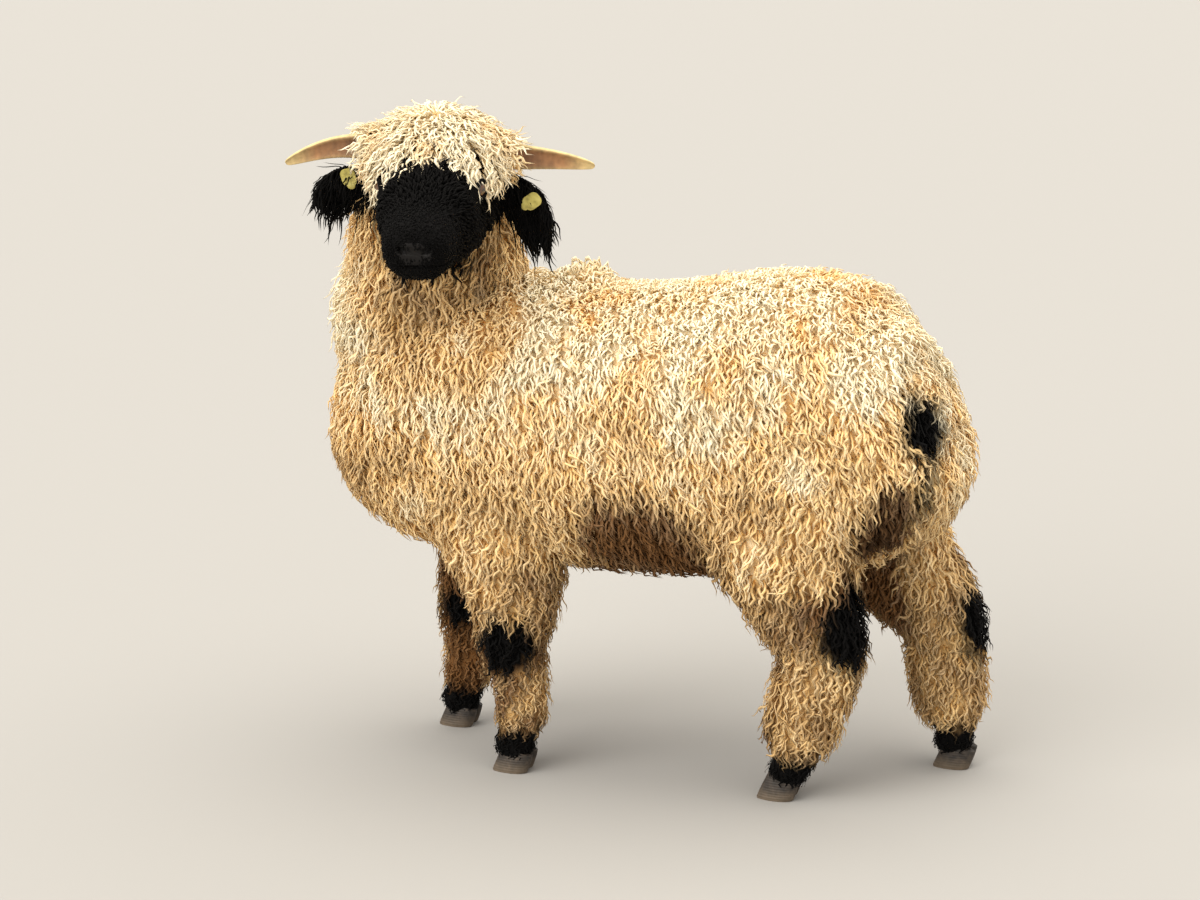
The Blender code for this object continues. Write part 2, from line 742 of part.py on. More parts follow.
def downward_lie(out, lean):
    """Direction of hanging wool on a surface: down, leaning along a given way."""
    way = Vector((0, 0, -1)) + lean
    way -= out * way.dot(out)
    return way.normalized()


def even_angles(form, t, count, offset):
    """Angles that lie evenly round a section of a form."""
    samples = 72
    points = [form.point(t, 2 * math.pi * i / samples, 1.0) for i in range(samples + 1)]
    walked = [0.0]
    for before, after in zip(points, points[1:]):
        walked.append(walked[-1] + (after - before).length)
    angles = []
    for k in range(count):
        goal = walked[-1] * ((k + offset) / count % 1.0)
        i = max(j for j in range(samples) if walked[j] <= goal)
        part = (goal - walked[i]) / (walked[i + 1] - walked[i])
        angles.append(2 * math.pi * (i + part) / samples)
    return angles, walked[-1]


def fleece_on(form, start, end, rows, size, lean, cores, seed):
    """Clumps in staggered rings over a form, left out where another core covers their root."""
    rng = random.Random(seed)
    width, length = size
    meshes = []
    for row in range(rows):
        t = start + (end - start) * (row + 0.5) / rows
        girth = even_angles(form, t, 1, 0.0)[1]
        count = max(4, round(girth / (width * CLUMP_SPACING)))
        offset = 0.5 * (row % 2) + rng.uniform(0, 0.2)
        for angle in even_angles(form, t, count, offset)[0]:
            place = min(form.last, max(0.0, t + rng.uniform(-0.10, 0.10)))
            turned = angle + rng.uniform(-0.06, 0.06)
            root = form.point(place, turned, FLEECE_CORE)
            out = form.normal(place, turned, FLEECE_CORE)
            if any(is_inside(tree, root + out * 0.010) for tree in cores):
                continue
            height = blend_rows(form.rows, place)[7] * (1 - FLEECE_CORE)
            drift = Vector((rng.uniform(-0.3, 0.3), rng.uniform(-0.3, 0.3), 0))
            lie = downward_lie(out, lean + drift)
            scale = CLUMP_OVERLAP * rng.uniform(0.90, 1.12)
            if form.grow_start and min(place, form.last - place) < 1.4:
                scale *= 0.74
            meshes.append(clump(root, out, lie, height, length * scale, width * scale, rng))
    return meshes


def end_clumps(form, rng):
    """One clump in the middle of each rounded end of a form."""
    meshes = []
    for t, way in ((0.0, 1.0), (form.last, -1.0)):
        centre, _, rise, _, up, _ = form.section(t, FLEECE_CORE)
        height = blend_rows(form.rows, t)[7] * (1 - FLEECE_CORE)
        size = up * END_CLUMP_SHARE
        meshes.append(clump(centre, Vector((way, 0, 0)), -rise, height, size, size, rng))
    return meshes


def is_inside(tree, point):
    """Whether a point lies inside the closed mesh of a tree."""
    place, normal, _, _ = tree.find_nearest(point)
    return (point - place).dot(normal) < 0


def tree_of(mesh):
    """Search tree of a mesh."""
    bm = bmesh.new()
    bm.from_mesh(mesh)
    tree = BVHTree.FromBMesh(bm)
    bm.free()
    return tree


def topknot_clumps():
    """Clumps that fall from the crown over the forehead, the sides and the nape."""
    rng = random.Random(SEED + 5)
    meshes = []
    core = TOPKNOT_DEPTH * FLEECE_CORE
    radii = [radius + core for radius in TOPKNOT_RADII]
    for ring, (polar, count) in enumerate(TOPKNOT_RINGS):
        for k in range(count):
            angle = 2 * math.pi * (k + 0.5 * (ring % 2) + rng.uniform(-0.15, 0.15)) / count
            way = (math.sin(polar) * math.cos(angle), math.sin(polar) * math.sin(angle), math.cos(polar))
            along = TOPKNOT_PLACE[0] + way[0] * radii[0]
            root = on_head(along, way[1] * radii[1], TOPKNOT_PLACE[1] + way[2] * radii[2])
            out = FACING * way[0] / radii[0] + HEAD_SIDE * way[1] / radii[1] + HEAD_RISE * way[2] / radii[2]
            out.normalize()
            lie = downward_lie(out, (FACING * way[0] + HEAD_SIDE * way[1]) * 0.8)
            height = TOPKNOT_DEPTH * (1 - FLEECE_CORE)
            meshes.append(clump(root, out, lie, height, 0.068, 0.066, rng))
    return meshes


def fleece_clumps(cores):
    """All clumps of the body, neck, legs and topknot."""
    trees = [(mesh.name, tree_of(mesh)) for mesh in cores]
    backward = Vector((0.35, 0, 0))

    def others(mine):
        return [tree for name, tree in trees if not name.startswith(mine)]

    torso = FORMS["torso"]
    meshes = fleece_on(torso, 0.3, torso.last - 0.3, 8, (0.138, 0.140), backward, others("torso"), SEED)
    meshes += end_clumps(torso, random.Random(SEED + 3))
    meshes += fleece_on(FORMS["neck"], 0.6, 4.0, 4, (0.118, 0.115), Vector(), others("neck"), SEED + 1)
    for i, name in enumerate(FEET):
        form = FORMS[f"leg_{name}"]
        mine = others(f"leg_core_{name}")
        meshes += fleece_on(form, 1.0, 3.0, 1, (0.110, 0.100), Vector(), mine, SEED + 20 + i)
        meshes += fleece_on(form, 2.5, 6.1, 3, (0.080, 0.075), Vector(), mine, SEED + 30 + i)
    meshes += topknot_clumps()
    return meshes


# Regions that part the flesh: boxes and half spaces with a thin cut between them
FAR = 2.0
NECK_CUT_BACK = Vector((-0.160, 0.0, 0.760))
NECK_CUT_FRONT = Vector((-0.470, 0.0, 0.600))
HEAD_CUT_LIFT = -0.022
TAIL_BOX = ((0.462, -0.052, 0.455), (0.700, 0.060, 0.656))
LEG_BOXES = {
    "fore_left": ((-0.270, -0.400, -0.100), (-0.030, -0.002, 0.378)),
    "fore_right": ((-0.430, 0.002, -0.100), (-0.190, 0.400, 0.378)),
    "hind_left": ((0.130, -0.400, -0.100), (0.440, -0.002, 0.430)),
    "hind_right": ((0.300, 0.002, -0.100), (0.660, 0.400, 0.430)),
}


def neck_axes():
    """Axes of the cut between torso and neck; the third points into the neck."""
    along = (NECK_CUT_FRONT - NECK_CUT_BACK).normalized()
    across = Vector((0, 1, 0))
    return along, across, across.cross(along) * math.copysign(1.0, across.cross(along).z)


def head_cut_axes():
    """Axes of the cut between neck and head; the first points into the head."""
    into = (FACING * 0.83 + HEAD_RISE * 0.55).normalized()
    return into, HEAD_SIDE, into.cross(HEAD_SIDE)


def head_region(extra):
    """Box that holds the head, grown by a small amount."""
    reach = 0.6
    low = (-extra, -reach, -0.17 - extra)
    high = (reach, reach, reach)
    return block("head_region", low, high, head_cut_axes(), on_head(0.0, 0.0, HEAD_CUT_LIFT))


def leg_region(name, extra):
    """Box that holds one leg, grown by a small amount."""
    low, high = LEG_BOXES[name]
    grown = Vector((extra,) * 3)
    return block("leg_region", Vector(low) - grown, Vector(high) + grown)


def tail_region(extra):
    """Box that holds the tail, grown by a small amount."""
    grown = Vector((extra,) * 3)
    return block("tail_region", Vector(TAIL_BOX[0]) - grown, Vector(TAIL_BOX[1]) + grown)


def part_flesh(whole, collection):
    """Parts the whole flesh into its nodes and returns them by name."""
    axes = neck_axes()
    above = block("above", (-FAR, -FAR, GAP), (FAR, FAR, FAR), axes, NECK_CUT_BACK)
    below = block("below", (-FAR, -FAR, -FAR), (FAR, FAR, 0.0), axes, NECK_CUT_BACK)
    nodes = {}

    def take(name, region, removed):
        node = new_object(name, whole.data.copy(), collection)
        apply_boolean(node, [region], "INTERSECT")
        nodes[name] = cut(node, removed)

    take("head", head_region(0.0), [])
    take("neck", above, [head_region(GAP)])
    legs = [leg_region(name, GAP) for name in FEET]
    take("torso", below, [head_region(GAP), tail_region(GAP), *legs])
    take("tail", tail_region(0.0), [])
    for name in FEET:
        take(f"leg_{name}", leg_region(name, 0.0), [])
    return nodes


def centre_on_floor(objects):
    """Moves all meshes so that the model's box stands centred over the origin."""
    points = [vertex.co for item in objects for vertex in item.data.vertices]
    low = [min(point[i] for point in points) for i in range(3)]
    high = [max(point[i] for point in points) for i in range(3)]
    shift = Vector((-(low[0] + high[0]) / 2, -(low[1] + high[1]) / 2, -low[2]))
    for item in objects:
        item.data.transform(Matrix.Translation(shift))


def finish(target, finish_name):
    """Cleans a node, gives it its material and shades it smooth."""
    keep_largest(target)
    merge_flat_faces(target)
    target.data.materials.clear()
    target.data.materials.append(material(finish_name))
    target.data.shade_smooth()
    target.data.set_sharp_from_angle(angle=math.radians(50))


def build():
    """Builds the whole model as objects that bear their nodes' names."""
    for item in list(bpy.data.objects):
        bpy.data.objects.remove(item)
    collection = bpy.data.collections.new("valais_blacknose_sheep")
    bpy.context.scene.collection.children.link(collection)

    cores = body_cores()
    pieces = cores + head_core() + fleece_clumps(cores)
    for name in FEET:
        pieces += dewclaws(name)
    whole = joined("whole", pieces, collection)
    thin_out(whole, KEPT_SHARE)
    nodes = part_flesh(whole, collection)
    bpy.data.objects.remove(whole)

    finishes = {name: "fleece" for name in nodes}
    finishes["head"] = "face"
    for side, sign in (("left", 1), ("right", -1)):
        worn = {
            "horn": [horn(sign)],
            "eye": [eye(sign)],
            "ear_tag": tag(sign),
            "ear": [ear(sign), *ear_locks(sign)],
        }
        clearance = {piece: [grown_copy(mesh) for mesh in meshes] for piece, meshes in worn.items()}
        for piece, meshes in worn.items():
            node = f"{piece}_{side}"
            nodes[node] = joined(node, meshes, collection)
            finishes[node] = {"ear_tag": "tag", "ear": "face"}.get(piece, piece)
        cut(nodes[f"ear_{side}"], [mesh.copy() for mesh in clearance["ear_tag"]])
        for body in ("head", "neck", "torso"):
            cut(nodes[body], [mesh.copy() for meshes in clearance.values() for mesh in meshes])
    cut(nodes["head"], [mouth_groove(), nostril(1), nostril(-1), philtrum()])
    for name in FEET:
        for side, sign in (("inner", -1), ("outer", 1)):
            facing_out = math.copysign(1.0, FEET[name][1]) * sign
            node = f"claw_{name}_{side}"
            nodes[node] = new_object(node, claw(name, facing_out), collection)
            finishes[node] = "hoof"
            cut(nodes[f"leg_{name}"], [grown_copy(nodes[node].data)])
    for name, node in nodes.items():
        node.name = name
        finish(node, finishes[name])
    centre_on_floor(list(nodes.values()))


build()
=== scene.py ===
"""Valais blacknose sheep as a still museum model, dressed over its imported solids.

One woolly hide replaces the flesh nodes, and Geometry Nodes plant the fleece on it as locks of
solid mesh. Lengths are metres in the builder's frame (head towards -X, left side towards -Y),
and every piece is moved by SHIFT at the end of its making, which brings it onto the solids.
"""

import math
import random
from functools import partial

import bmesh
import bpy
from mathutils import Matrix, Vector, noise
from mathutils.bvhtree import BVHTree


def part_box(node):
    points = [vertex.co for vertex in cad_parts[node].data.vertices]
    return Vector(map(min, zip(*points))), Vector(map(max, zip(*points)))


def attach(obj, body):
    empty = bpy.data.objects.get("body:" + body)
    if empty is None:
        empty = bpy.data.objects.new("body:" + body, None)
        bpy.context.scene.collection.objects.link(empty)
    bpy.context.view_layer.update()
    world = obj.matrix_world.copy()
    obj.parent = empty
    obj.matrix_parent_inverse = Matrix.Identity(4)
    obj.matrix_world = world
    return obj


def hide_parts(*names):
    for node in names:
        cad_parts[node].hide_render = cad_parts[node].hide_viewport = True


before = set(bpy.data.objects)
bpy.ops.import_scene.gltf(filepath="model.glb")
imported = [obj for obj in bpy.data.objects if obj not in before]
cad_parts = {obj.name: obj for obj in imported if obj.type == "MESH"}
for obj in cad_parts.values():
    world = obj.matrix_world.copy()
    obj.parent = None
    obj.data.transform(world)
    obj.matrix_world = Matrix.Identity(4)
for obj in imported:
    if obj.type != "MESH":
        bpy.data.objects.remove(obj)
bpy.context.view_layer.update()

# Driving dimensions, the same as the solids have
SECTION_POWER = 2.3
SEED = 651
STEP = 0.01
FLEECE_BODY = 0.065
FLEECE_NECK = 0.062
HEAD_BACK = Vector((-0.264, -0.130, 0.950))
HEAD_AZIMUTH = 10.5
HEAD_PITCH = 20.0
HEAD_LENGTH = 0.268
EYE_PLACE = (0.100, 0.0680, 0.022)
EYE_RADIUS = 0.0150
HORN_ROOT = (0.020, 0.046, 0.036)
EAR_ROOT = (0.022, 0.072)
# Lift of the root, reach to the side and droop of the left (+1) and right (-1) ear
EARS = {1: (-0.010, 0.078, 0.080), -1: (-0.002, 0.106, 0.036)}
HORN_REACH = 0.190
HORN_WOOL = 0.34
FEET = {
    "fore_left": (-0.150, -0.100),
    "fore_right": (-0.310, 0.100),
    "hind_left": (0.282, -0.112),
    "hind_right": (0.520, 0.112),
}
SHOULDER_X = -0.200
HIP_X = 0.370
FORE_PIVOT = 0.56
HIND_PIVOT = 0.64
CLAW_HEIGHT = 0.042
CLAW_LENGTH = 0.058
CLAW_WIDTH = 0.024
CLAW_SPREAD = 0.0140

# Sections of the flesh: x, y, z, side azimuth, half width, upper and lower reach, fleece depth
TORSO = (
    (0.428, -0.050, 0.600, 270, 0.066, 0.092, 0.094, FLEECE_BODY),
    (0.402, -0.040, 0.590, 270, 0.104, 0.138, 0.140, FLEECE_BODY),
    (0.340, -0.018, 0.580, 270, 0.130, 0.153, 0.165, FLEECE_BODY),
    (0.250, 0.0, 0.575, 270, 0.142, 0.162, 0.175, FLEECE_BODY),
    (0.130, 0.0, 0.565, 270, 0.152, 0.152, 0.175, FLEECE_BODY),
    (0.000, 0.0, 0.555, 270, 0.157, 0.152, 0.165, FLEECE_BODY),
    (-0.120, 0.0, 0.555, 270, 0.150, 0.158, 0.160, FLEECE_BODY),
    (-0.220, 0.0, 0.560, 270, 0.137, 0.160, 0.158, FLEECE_BODY),
    (-0.312, 0.0, 0.565, 270, 0.122, 0.145, 0.150, FLEECE_BODY),
    (-0.372, 0.0, 0.570, 270, 0.100, 0.120, 0.128, FLEECE_BODY),
    (-0.406, 0.0, 0.575, 270, 0.056, 0.070, 0.080, FLEECE_BODY),
)
NECK = (
    (-0.205, 0.000, 0.600, 270, 0.095, 0.085, 0.140, FLEECE_NECK),
    (-0.296, -0.008, 0.700, 278, 0.083, 0.068, 0.118, FLEECE_NECK),
    (-0.302, -0.028, 0.790, 300, 0.067, 0.066, 0.086, FLEECE_NECK),
    (-0.298, -0.060, 0.870, 332, 0.066, 0.062, 0.072, 0.052),
    (-0.278, -0.100, 0.932, 360, 0.060, 0.050, 0.062, 0.042),
)
# Head sections: distance from the back of the skull, lift, half width, upper and lower reach, fur
HEAD = (
    (-0.010, -0.005, 0.034, 0.028, 0.036, 0.020),
    (0.012, -0.004, 0.058, 0.048, 0.064, 0.020),
    (0.055, 0.000, 0.075, 0.060, 0.086, 0.018),
    (0.100, 0.000, 0.072, 0.058, 0.088, 0.009),
    (0.145, -0.002, 0.065, 0.050, 0.076, 0.009),
    (0.185, -0.003, 0.051, 0.042, 0.060, 0.007),
    (0.220, -0.003, 0.050, 0.040, 0.054, 0.007),
    (0.245, -0.003, 0.047, 0.036, 0.047, 0.007),
    (0.260, -0.003, 0.038, 0.028, 0.036, 0.007),
    (HEAD_LENGTH, -0.003, 0.021, 0.016, 0.020, 0.007),
)
TOPKNOT_PLACE = (0.020, 0.016)
TOPKNOT_RADII = (0.058, 0.064, 0.042)
TOPKNOT_DEPTH = 0.048
# Leg sections: offsets from the foot along x and towards the flank, height, half width,
# front and rear reach, fleece depth
FORE_LEG = (
    (-0.045, -0.015, 0.500, 0.055, 0.070, 0.070, 0.045),
    (-0.015, -0.008, 0.420, 0.048, 0.060, 0.062, 0.042),
    (0.000, -0.004, 0.340, 0.036, 0.048, 0.048, 0.038),
    (0.002, 0.000, 0.270, 0.028, 0.034, 0.033, 0.034),
    (-0.004, 0.000, 0.215, 0.027, 0.031, 0.026, 0.026),
    (0.000, 0.000, 0.150, 0.019, 0.018, 0.020, 0.024),
    (0.000, 0.000, 0.100, 0.022, 0.021, 0.024, 0.018),
    (-0.006, 0.000, 0.066, 0.021, 0.021, 0.021, 0.010),
    (-0.010, 0.000, 0.040, 0.025, 0.027, 0.024, 0.004),
    (-0.012, 0.000, 0.024, 0.020, 0.021, 0.018, 0.001),
)
HIND_LEG = (
    (-0.080, -0.030, 0.560, 0.070, 0.120, 0.110, 0.050),
    (-0.076, -0.012, 0.440, 0.058, 0.088, 0.080, 0.046),
    (-0.036, -0.004, 0.345, 0.042, 0.058, 0.052, 0.040),
    (0.006, 0.000, 0.272, 0.029, 0.038, 0.036, 0.036),
    (0.018, 0.000, 0.230, 0.027, 0.033, 0.032, 0.033),
    (0.010, 0.000, 0.160, 0.021, 0.026, 0.023, 0.036),
    (0.004, 0.000, 0.105, 0.024, 0.027, 0.025, 0.028),
    (0.002, 0.000, 0.068, 0.021, 0.021, 0.021, 0.012),
    (-0.004, 0.000, 0.040, 0.025, 0.027, 0.024, 0.004),
    (-0.008, 0.000, 0.024, 0.020, 0.021, 0.018, 0.001),
)
TAIL = (
    (0.424, -0.046, 0.665, 251, 0.022, 0.020, 0.020, 0.020),
    (0.452, -0.056, 0.635, 251, 0.026, 0.018, 0.018, 0.024),
    (0.472, -0.064, 0.585, 251, 0.026, 0.014, 0.014, 0.024),
    (0.474, -0.068, 0.530, 251, 0.022, 0.010, 0.010, 0.022),
    (0.467, -0.070, 0.490, 251, 0.010, 0.006, 0.006, 0.018),
)

# Depth of the fleece at which the matted undercoat ends and the locks are rooted
ROOT_DEPTH = 0.80
FACE_DEPTH = 0.35
HIDE_VOXEL = 0.0028
HIDE_TRIANGLES = 90000
# Undercoat of the crown
TOPKNOT_ROOTS = [radius + TOPKNOT_DEPTH * ROOT_DEPTH for radius in TOPKNOT_RADII]
# Size of one lock's patch of the UV map
PATCH = 0.003
# Depth inside another form from which a place counts as buried
BURIED = 0.004
UP = Vector((0, 0, 1))


# Shared maths: blended sections and the frames of head and legs

def blend_rows(rows, t):
    """Catmull-Rom blend of rows of numbers; whole values of t are the rows themselves."""
    last = len(rows) - 1
    i = max(0, min(int(t), last - 1))
    f = t - i
    around = (rows[max(0, min(last, k))] for k in (i - 1, i, i + 1, i + 2))
    return [
        0.5 * (2 * q + (r - p) * f + (2 * p - 5 * q + 4 * r - s) * f * f + (3 * q - p - 3 * r + s) * f ** 3)
        for p, q, r, s in zip(*around)
    ]


class Form:
    """A body part as sections along a path that runs towards the head, or down a leg."""

    def __init__(self, rows, grow_start=False, grow_end=False):
        self.rows = rows
        self.last = len(rows) - 1
        self.grow_start = grow_start
        self.grow_end = grow_end

    def section(self, t, depth):
        """Centre, side and rise directions, half width, reaches; depth 0 is skin, 1 the tips."""
        row = blend_rows(self.rows, t)
        before = blend_rows(self.rows, max(0.0, t - STEP))
        after = blend_rows(self.rows, min(self.last, t + STEP))
        ahead = (Vector(after[:3]) - Vector(before[:3])).normalized()
        azimuth = math.radians(row[3])
        side = Vector((math.cos(azimuth), math.sin(azimuth), 0.0))
        side = (side - ahead * side.dot(ahead)).normalized()
        rise = ahead.cross(side)
        fleece = row[7] * depth
        centre = Vector(row[:3])
        to_start = max(0.0, 1.0 - t) if self.grow_start else 0.0
        to_end = max(0.0, t - self.last + 1.0) if self.grow_end else 0.0
        centre += ahead * fleece * (to_end - to_start)
        grown = fleece * (1.0 - 0.75 * max(to_start, to_end) ** 2)
        return centre, side, rise, row[4] + grown, row[5] + grown, row[6] + grown

    def point(self, t, angle, depth):
        """Point of the surface; angle 0 is the side and 90 degrees the rise."""
        centre, side, rise, half_width, up, down = self.section(t, depth)
        c = math.cos(angle)
        s = math.sin(angle)
        across = math.copysign(abs(c) ** (2 / SECTION_POWER), c) * half_width
        lift = math.copysign(abs(s) ** (2 / SECTION_POWER), s) * (up if s > 0 else down)
        return centre + side * across + rise * lift

    def surface(self, t, angle, depth):
        """Point of the surface, middle of its section and direction out of it."""
        point = self.point(t, angle, depth)
        middle = self.section(t, depth)[0]
        ahead = self.point(min(self.last, t + STEP), angle, depth)
        along = ahead - self.point(max(0.0, t - STEP), angle, depth)
        around = self.point(t, angle + STEP, depth) - self.point(t, angle - STEP, depth)
        out = around.cross(along).normalized()
        return point, middle, -out if out.dot(point - middle) < 0 else out


def head_axes():
    """Facing, side (its left) and rise directions of the head."""
    azimuth = math.radians(HEAD_AZIMUTH)
    pitch = math.radians(HEAD_PITCH)
    side = Vector((math.cos(azimuth), math.sin(azimuth), 0.0))
    level = Vector((math.sin(azimuth), -math.cos(azimuth), 0.0))
    facing = level * math.cos(pitch) - Vector((0, 0, 1)) * math.sin(pitch)
    return facing, side, facing.cross(side)


FACING, HEAD_SIDE, HEAD_RISE = head_axes()


def on_head(along, across, lift):
    """World place of head coordinates: along the face, to its left, and up."""
    return HEAD_BACK + FACING * along + HEAD_SIDE * across + HEAD_RISE * lift


def to_head(point):
    """Head coordinates of a world place."""
    offset = point - HEAD_BACK
    return offset.dot(FACING), offset.dot(HEAD_SIDE), offset.dot(HEAD_RISE)


def head_rows():
    """Head sections in the world."""
    return tuple(
        (*on_head(along, 0.0, lift), HEAD_AZIMUTH, half_width, up, down, fur)
        for along, lift, half_width, up, down, fur in HEAD
    )


def head_time(along):
    """Place t of the head form at a distance from the back of the skull."""
    for i, (before, after) in enumerate(zip(HEAD, HEAD[1:])):
        if along <= after[0]:
            return i + (along - before[0]) / (after[0] - before[0])
    return len(HEAD) - 1


def leg_rows(name):
    """Leg sections in the world, over the foot of that name."""
    foot_x, foot_y = FEET[name]
    flank = math.copysign(1.0, foot_y)
    fore = name.startswith("fore")
    neutral = SHOULDER_X if fore else HIP_X
    made = []
    for x, y, z, half_width, front, rear, fleece in FORE_LEG if fore else HIND_LEG:
        swing = 1 - (z / FORE_PIVOT) ** 2 if fore else 1 - z / HIND_PIVOT
        place = neutral + (foot_x - neutral) * max(0.0, swing) + x
        made.append((place, foot_y + flank * y, z, 270, half_width, front, rear, fleece))
    return tuple(made)


FORMS = {
    "torso": Form(TORSO, grow_start=True, grow_end=True),
    "neck": Form(NECK),
    "head": Form(head_rows(), grow_start=True),
    "tail": Form(TAIL),
    **{f"leg_{name}": Form(leg_rows(name)) for name in FEET},
}


def root_depth(name):
    """Depth of a form's fleece at which its locks are rooted."""
    return FACE_DEPTH if name == "head" else ROOT_DEPTH


def eye_centre(sign):
    """Centre of the left (+1) or right (-1) eye."""
    along, across, lift = EYE_PLACE
    return on_head(along, sign * across, lift)


def eye_out(sign):
    """Direction in which an eye looks."""
    return (HEAD_SIDE * sign + FACING * 0.38 + HEAD_RISE * 0.10).normalized()


EYE_LOW, EYE_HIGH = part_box("eye_left")
SHIFT = (EYE_LOW + EYE_HIGH) / 2 - eye_centre(1)


# Meshes and objects

def new_object(name, mesh):
    """Object that holds a mesh in the scene."""
    made = bpy.data.objects.new(name, mesh)
    bpy.context.scene.collection.objects.link(made)
    return made


def smooth(mesh):
    """Shades a mesh smooth and returns it."""
    mesh.shade_smooth()
    return mesh


def closed_mesh(name, bm):
    """Mesh of a closed surface with its faces pointing out."""
    bmesh.ops.recalc_face_normals(bm, faces=bm.faces)
    bmesh.ops.triangulate(bm, faces=bm.faces)
    if bm.calc_volume(signed=True) < 0:
        bmesh.ops.reverse_faces(bm, faces=bm.faces)
    mesh = bpy.data.meshes.new(name)
    bm.to_mesh(mesh)
    bm.free()
    return mesh


def mesh_from_rings(name, rings, tip=None):
    """Closed mesh through rings of equally many points, which ends flat or in a tip."""
    bm = bmesh.new()
    made = [[bm.verts.new(p) for p in ring] for ring in rings]
    count = len(rings[0])
    for lower, upper in zip(made, made[1:]):
        for i in range(count):
            j = (i + 1) % count
            bm.faces.new((lower[i], lower[j], upper[j], upper[i]))
    bm.faces.new(made[0])
    if tip is None:
        bm.faces.new(made[-1])
    else:
        point = bm.verts.new(tip)
        for i in range(count):
            bm.faces.new((made[-1][i], made[-1][(i + 1) % count], point))
    return closed_mesh(name, bm)


def loft(name, form, depth, steps, sides):
    """Mesh of a form at a depth of its fleece."""
    rings = []
    for i in range(steps + 1):
        t = form.last * i / steps
        rings.append([form.point(t, 2 * math.pi * k / sides, depth) for k in range(sides)])
    return mesh_from_rings(name, rings)


def tube(name, points, radii, sides=8, flat=1.0, side=None):
    """Closed tube of changing radius; flat squeezes its section across the given side."""
    rings = []
    for i, point in enumerate(points):
        ahead = (points[min(i + 1, len(points) - 1)] - points[max(i - 1, 0)]).normalized()
        if side is None:
            side = ahead.orthogonal().normalized()
        side = (side - ahead * side.dot(ahead)).normalized()
        rise = ahead.cross(side)
        ring = []
        for k in range(sides):
            angle = 2 * math.pi * k / sides
            offset = side * math.cos(angle) + rise * flat * math.sin(angle)
            ring.append(point + offset * radii[i])
        rings.append(ring)
    return mesh_from_rings(name, rings)


def ball(name, centre, radii):
    """Ellipsoid with its radii along, across and up the head."""
    bm = bmesh.new()
    bmesh.ops.create_icosphere(bm, subdivisions=3, radius=1.0)
    for vertex in bm.verts:
        local = [vertex.co[i] * radii[i] for i in range(3)]
        vertex.co = centre + FACING * local[0] + HEAD_SIDE * local[1] + HEAD_RISE * local[2]
    return closed_mesh(name, bm)


def crown_ball():
    """Undercoat of the crown, under its curls."""
    return ball("topknot", on_head(TOPKNOT_PLACE[0], 0.0, TOPKNOT_PLACE[1]), TOPKNOT_ROOTS)


def joined(name, meshes):
    """One mesh that holds several, without fusing them."""
    bm = bmesh.new()
    for mesh in meshes:
        bm.from_mesh(mesh)
    made = bpy.data.meshes.new(name)
    bm.to_mesh(made)
    bm.free()
    return made


def evaluated_mesh(target):
    """Plain mesh of an object with its modifiers applied."""
    graph = bpy.context.evaluated_depsgraph_get()
    return bpy.data.meshes.new_from_object(
        target.evaluated_get(graph), preserve_all_data_layers=True, depsgraph=graph
    )


def apply_modifiers(target):
    """Turns an object's modifiers into its plain mesh."""
    mesh = evaluated_mesh(target)
    target.modifiers.clear()
    target.data = mesh
    return target


def cut_away(mesh, cutters):
    """Mesh with closed cutters taken away from it."""
    base = new_object("cut_base", mesh)
    for i, cutter in enumerate(cutters):
        tool = new_object(f"cutter_{i}", cutter)
        modifier = base.modifiers.new("cut", "BOOLEAN")
        modifier.operation = "DIFFERENCE"
        modifier.object = tool
        modifier.solver = "EXACT"
    made = evaluated_mesh(base)
    for item in [base] + [m.object for m in base.modifiers]:
        bpy.data.objects.remove(item)
    return made


def dress(target, slot, nodes, *materials):
    """Puts a finished piece over the solids, with its materials and body; the slot it is given is not used.
    """
    target.data.transform(Matrix.Translation(SHIFT))
    for material in materials:
        target.data.materials.append(material)
    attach(target, "root")
    if nodes:
        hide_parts(*nodes)
    return target


# Markings, soiling and painted shade, as numbers from 0 to 1 for a place on the hide

def leg_spot(name, height, forward, outward, radii):
    """Black patch on a leg at a height, moved forward and outward from the leg's middle."""
    form = FORMS[f"leg_{name}"]
    rows = form.rows
    i = next(k for k in range(len(rows) - 1) if rows[k + 1][2] <= height)
    f = (rows[i][2] - height) / (rows[i][2] - rows[i + 1][2])
    middle = Vector(rows[i][:3]).lerp(Vector(rows[i + 1][:3]), f)
    flank = math.copysign(1.0, FEET[name][1])
    return middle + Vector((-forward, flank * outward, 0.0)), radii


# Centre and radii of each black patch
BLACK_PATCHES = (
    leg_spot("fore_left", 0.225, 0.000, 0.034, (0.044, 0.055, 0.050)),
    leg_spot("fore_right", 0.222, 0.002, -0.012, (0.046, 0.055, 0.046)),
    leg_spot("hind_left", 0.290, -0.048, 0.014, (0.042, 0.058, 0.068)),
    leg_spot("hind_right", 0.252, -0.058, 0.000, (0.036, 0.055, 0.060)),
    (Vector((0.452, -0.104, 0.590)), (0.060, 0.046, 0.058)),
    (Vector((0.440, -0.122, 0.515)), (0.050, 0.022, 0.060)),
)
FOOT_BLACK_TOP = 0.078
# Line of the painted shadow in the gap between the thighs, from under the tail down towards the hock
THIGH_CLEFT_SHADOW = (Vector((0.425, -0.130, 0.500)), Vector((0.402, -0.150, 0.372)))
# Tuft that stands up at the withers: its middle, radius and how much higher it stands
WITHERS_TUFT = Vector((-0.085, 0.020, 0.760))
TUFT_RADIUS = 0.05
TUFT_LIFT = 2.8
EYE_CLEARING = 0.024
# The bare skin reaches further under the fur that borders it
NOSE_UNDER_FUR = 1.6
NOSE_RADII = (0.0165, 0.0105)


def ragged(point, size, amount):
    """Noise that makes an edge irregular."""
    return amount * noise.noise(point / size)


